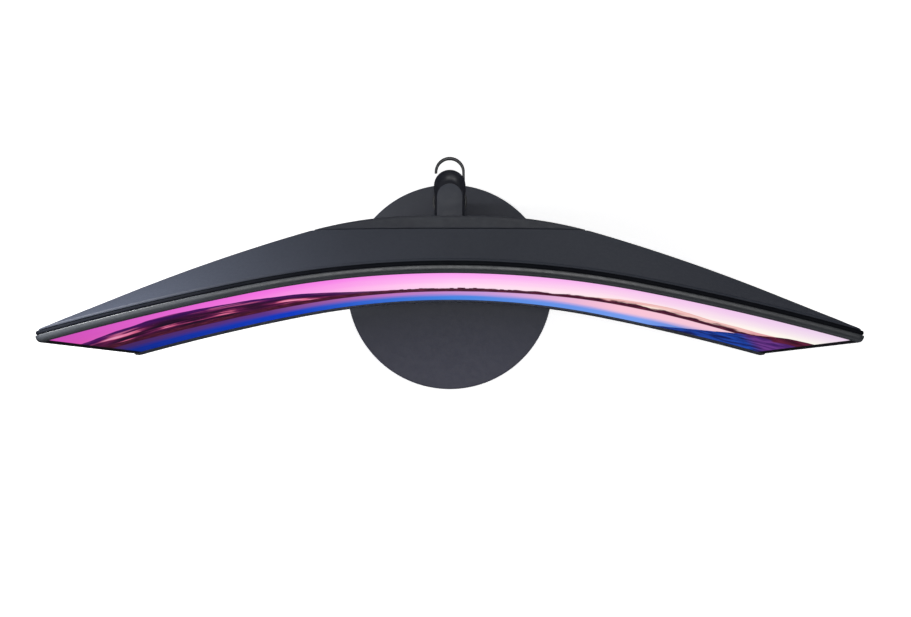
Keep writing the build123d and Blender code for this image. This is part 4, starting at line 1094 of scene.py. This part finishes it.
def hook_clip():
    """Spring clip: a C round the pole and an open hook behind it."""
    height, band, z, edge, clearance = 8.0, 2.9, 150.0, 0.6, 0.1
    grip_turn, hook_turn, hook_y, hook_outer = 125, 184, 116.5, 16.6
    low, high = z - height / 2, z + height / 2
    inner = POLE_R + clearance
    middle = inner + band / 2
    grip = [((middle * sin(t), POLE_Y + middle * cos(t)), (sin(t), cos(t)))
            for t in angles(-grip_turn, grip_turn, 72)]
    hook_mid = hook_outer - band / 2
    reach = POLE_Y + sqrt(inner ** 2 - (hook_mid - band / 2) ** 2) + 0.9
    hook = [((hook_mid, y), (1, 0)) for y in stations(reach, hook_y, 2)[:-1]]
    hook += [((hook_mid * cos(t), hook_y + hook_mid * sin(t)), (cos(t), sin(t)))
             for t in angles(0, hook_turn, 64)]
    mesh = tube_mesh("hook_clip", band_rows(grip, band, low, high, edge))
    joined(mesh, [tube_mesh("hook", band_rows(hook, band, low, high, edge))])
    add_piece("hook_clip", mesh, "clip_plastic", "root", ["cable_clip"])


def softened(node, width):
    """Copy of a CAD piece with its sharp edges eased by width, standing for the node."""
    def merge_flat_faces(bm):
        bmesh.ops.remove_doubles(bm, verts=bm.verts, dist=0.001 * MM)
        bmesh.ops.dissolve_limit(bm, angle_limit=radians(0.4), verts=bm.verts, edges=bm.edges)
    source = frame["nodes"][node]
    mesh = reshaped(source.data.copy(), merge_flat_faces)
    mesh = with_modifiers(mesh, bevel(width, angle=32))
    add_piece("eased_" + node, mesh, source["finish"], source["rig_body"], [node], crease=30)


# Other CAD pieces, and how much their edges are eased in millimetres.
EASED = {
    "rubber_feet": 0.5, "base_bottom_plate": 0.25, "base_screws": 0.25, "connecting_screw": 0.3,
    "port_panel": 0.3, "hdmi_socket": 0.12, "displayport_socket": 0.12, "vga_socket": 0.15,
    "audio_jack": 0.2, "dc_inlet": 0.2, "jog_well": 0.2, "jog_cap": 0.15, "power_led_lens": 0.2,
    "hinge_bracket": 0.3, "hinge_block": 0.4, "hinge_pin": 0.4, "hinge_nut": 0.3, "hinge_washers": 0.15,
    "hinge_block_screws": 0.25, "vesa_bosses": 0.3, "housing_screws": 0.2, "bracket_screws": 0.3,
}

screen_rim()
shadow_frame()
lower_bar()
screen_glass()
rear_cover()
rear_housing()
stand_base()
neck()
arm_strip()
hook_clip()
for node, width in EASED.items():
    softened(node, width)


# ---- floor, light and camera
def floor():
    """Pale floor that glows as painted light, weakly near the object and more strongly away from it, so
    that it runs into the backdrop.
    """
    half, near, far = 20000.0, 0.2, 1.6
    corners = [(-half, -half, 0), (half, -half, 0), (half, half, 0), (-half, half, 0)]
    mesh = raw_mesh("floor", corners, [(0, 1, 2, 3)])
    obj = placed("floor", mesh)
    obj.visible_glossy = False
    g = Graph("studio_floor")
    tone = g.mix(g.noise(300, 3), (0.88, 0.88, 0.88), (0.90, 0.90, 0.90))
    length = g.nodes.new("ShaderNodeVectorMath")
    length.operation = "LENGTH"
    g.join(g.place, length.inputs[0])
    glow = g.span(length.outputs["Value"], near, far, 0.79, 2.2)
    mesh.materials.append(g.fill(Base_Color=tone, Roughness=0.9, Specular_IOR_Level=0.0,
                                 Emission_Color=tone, Emission_Strength=glow))


def soft_light(name, place, target, size, power):
    """Rectangular lamp, sizes in metres and power in watts, hidden from the camera."""
    data = bpy.data.lights.new(name, "AREA")
    data.shape = "RECTANGLE"
    data.size, data.size_y = size
    data.energy = power
    obj = placed(name, data)
    obj.location = place
    aim = Vector(target) - Vector(place)
    obj.rotation_euler = aim.to_track_quat("-Z", "Y").to_euler()
    obj.visible_camera = False


def backdrop():
    """White shell far round the scene, seen by the camera alone."""
    def add_ball(bm):
        bmesh.ops.create_icosphere(bm, subdivisions=5, radius=24)
    mesh = reshaped(bpy.data.meshes.new("backdrop"), add_ball)
    mesh.shade_smooth()
    obj = placed("backdrop", mesh)
    obj.visible_diffuse = obj.visible_glossy = obj.visible_transmission = obj.visible_shadow = False
    g = Graph("backdrop_white")
    mesh.materials.append(g.fill(Base_Color=(0, 0, 0), Specular_IOR_Level=0.0,
                                 Emission_Color=(1, 1, 1), Emission_Strength=1.0))


def studio():
    """Dim even surround, lighter at the sides than overhead, and four soft lamps."""
    world = bpy.data.worlds.new("studio")
    bpy.context.scene.world = world
    world.use_nodes = True
    nodes, links = world.node_tree.nodes, world.node_tree.links
    height = nodes.new("ShaderNodeSeparateXYZ")
    links.new(nodes.new("ShaderNodeTexCoord").outputs["Generated"], height.inputs[0])
    ramp = nodes.new("ShaderNodeValToRGB")
    links.new(height.outputs[2], ramp.inputs[0])
    ramp.color_ramp.interpolation = "EASE"
    elements = ramp.color_ramp.elements
    elements[0].position, elements[0].color = 0.0, (0.018, 0.018, 0.02, 1)
    elements[1].position, elements[1].color = 1.0, (0.07, 0.07, 0.075, 1)
    for place, grey in ((0.06, 0.45), (0.35, 0.14)):
        elements.new(place).color = (grey, grey, grey * 1.03, 1)
    links.new(ramp.outputs[0], nodes["Background"].inputs[0])
    soft_light("key", (-0.39, 0.10, 0.70), (-0.55, -0.29, 0.50), (0.12, 0.12), 4.5)
    soft_light("top", (0.0, -0.22, 3.0), (0, 0, 0.3), (1.2, 1.2), 27)
    soft_light("rear", (0.3, 2.3, 0.24), (0, 0, 0.24), (2.0, 0.4), 8)
    soft_light("front", (0.6, -2.4, 1.4), (0, 0, 0.3), (2.0, 1.2), 4)


def camera():
    """Looks down on the object from just in front of it."""
    data = bpy.data.cameras.new("camera")
    data.sensor_width = 36
    data.lens = 59.92
    data.shift_x = 0.0063
    data.clip_start = 0.05
    data.clip_end = 100
    obj = placed("camera", data)
    obj.location = (0, -0.123, 1.80985)
    obj.rotation_euler = (radians(3.076), 0, 0)
    bpy.context.scene.camera = obj


floor()
backdrop()
studio()
camera()
bpy.context.scene.view_settings.view_transform = "Standard"
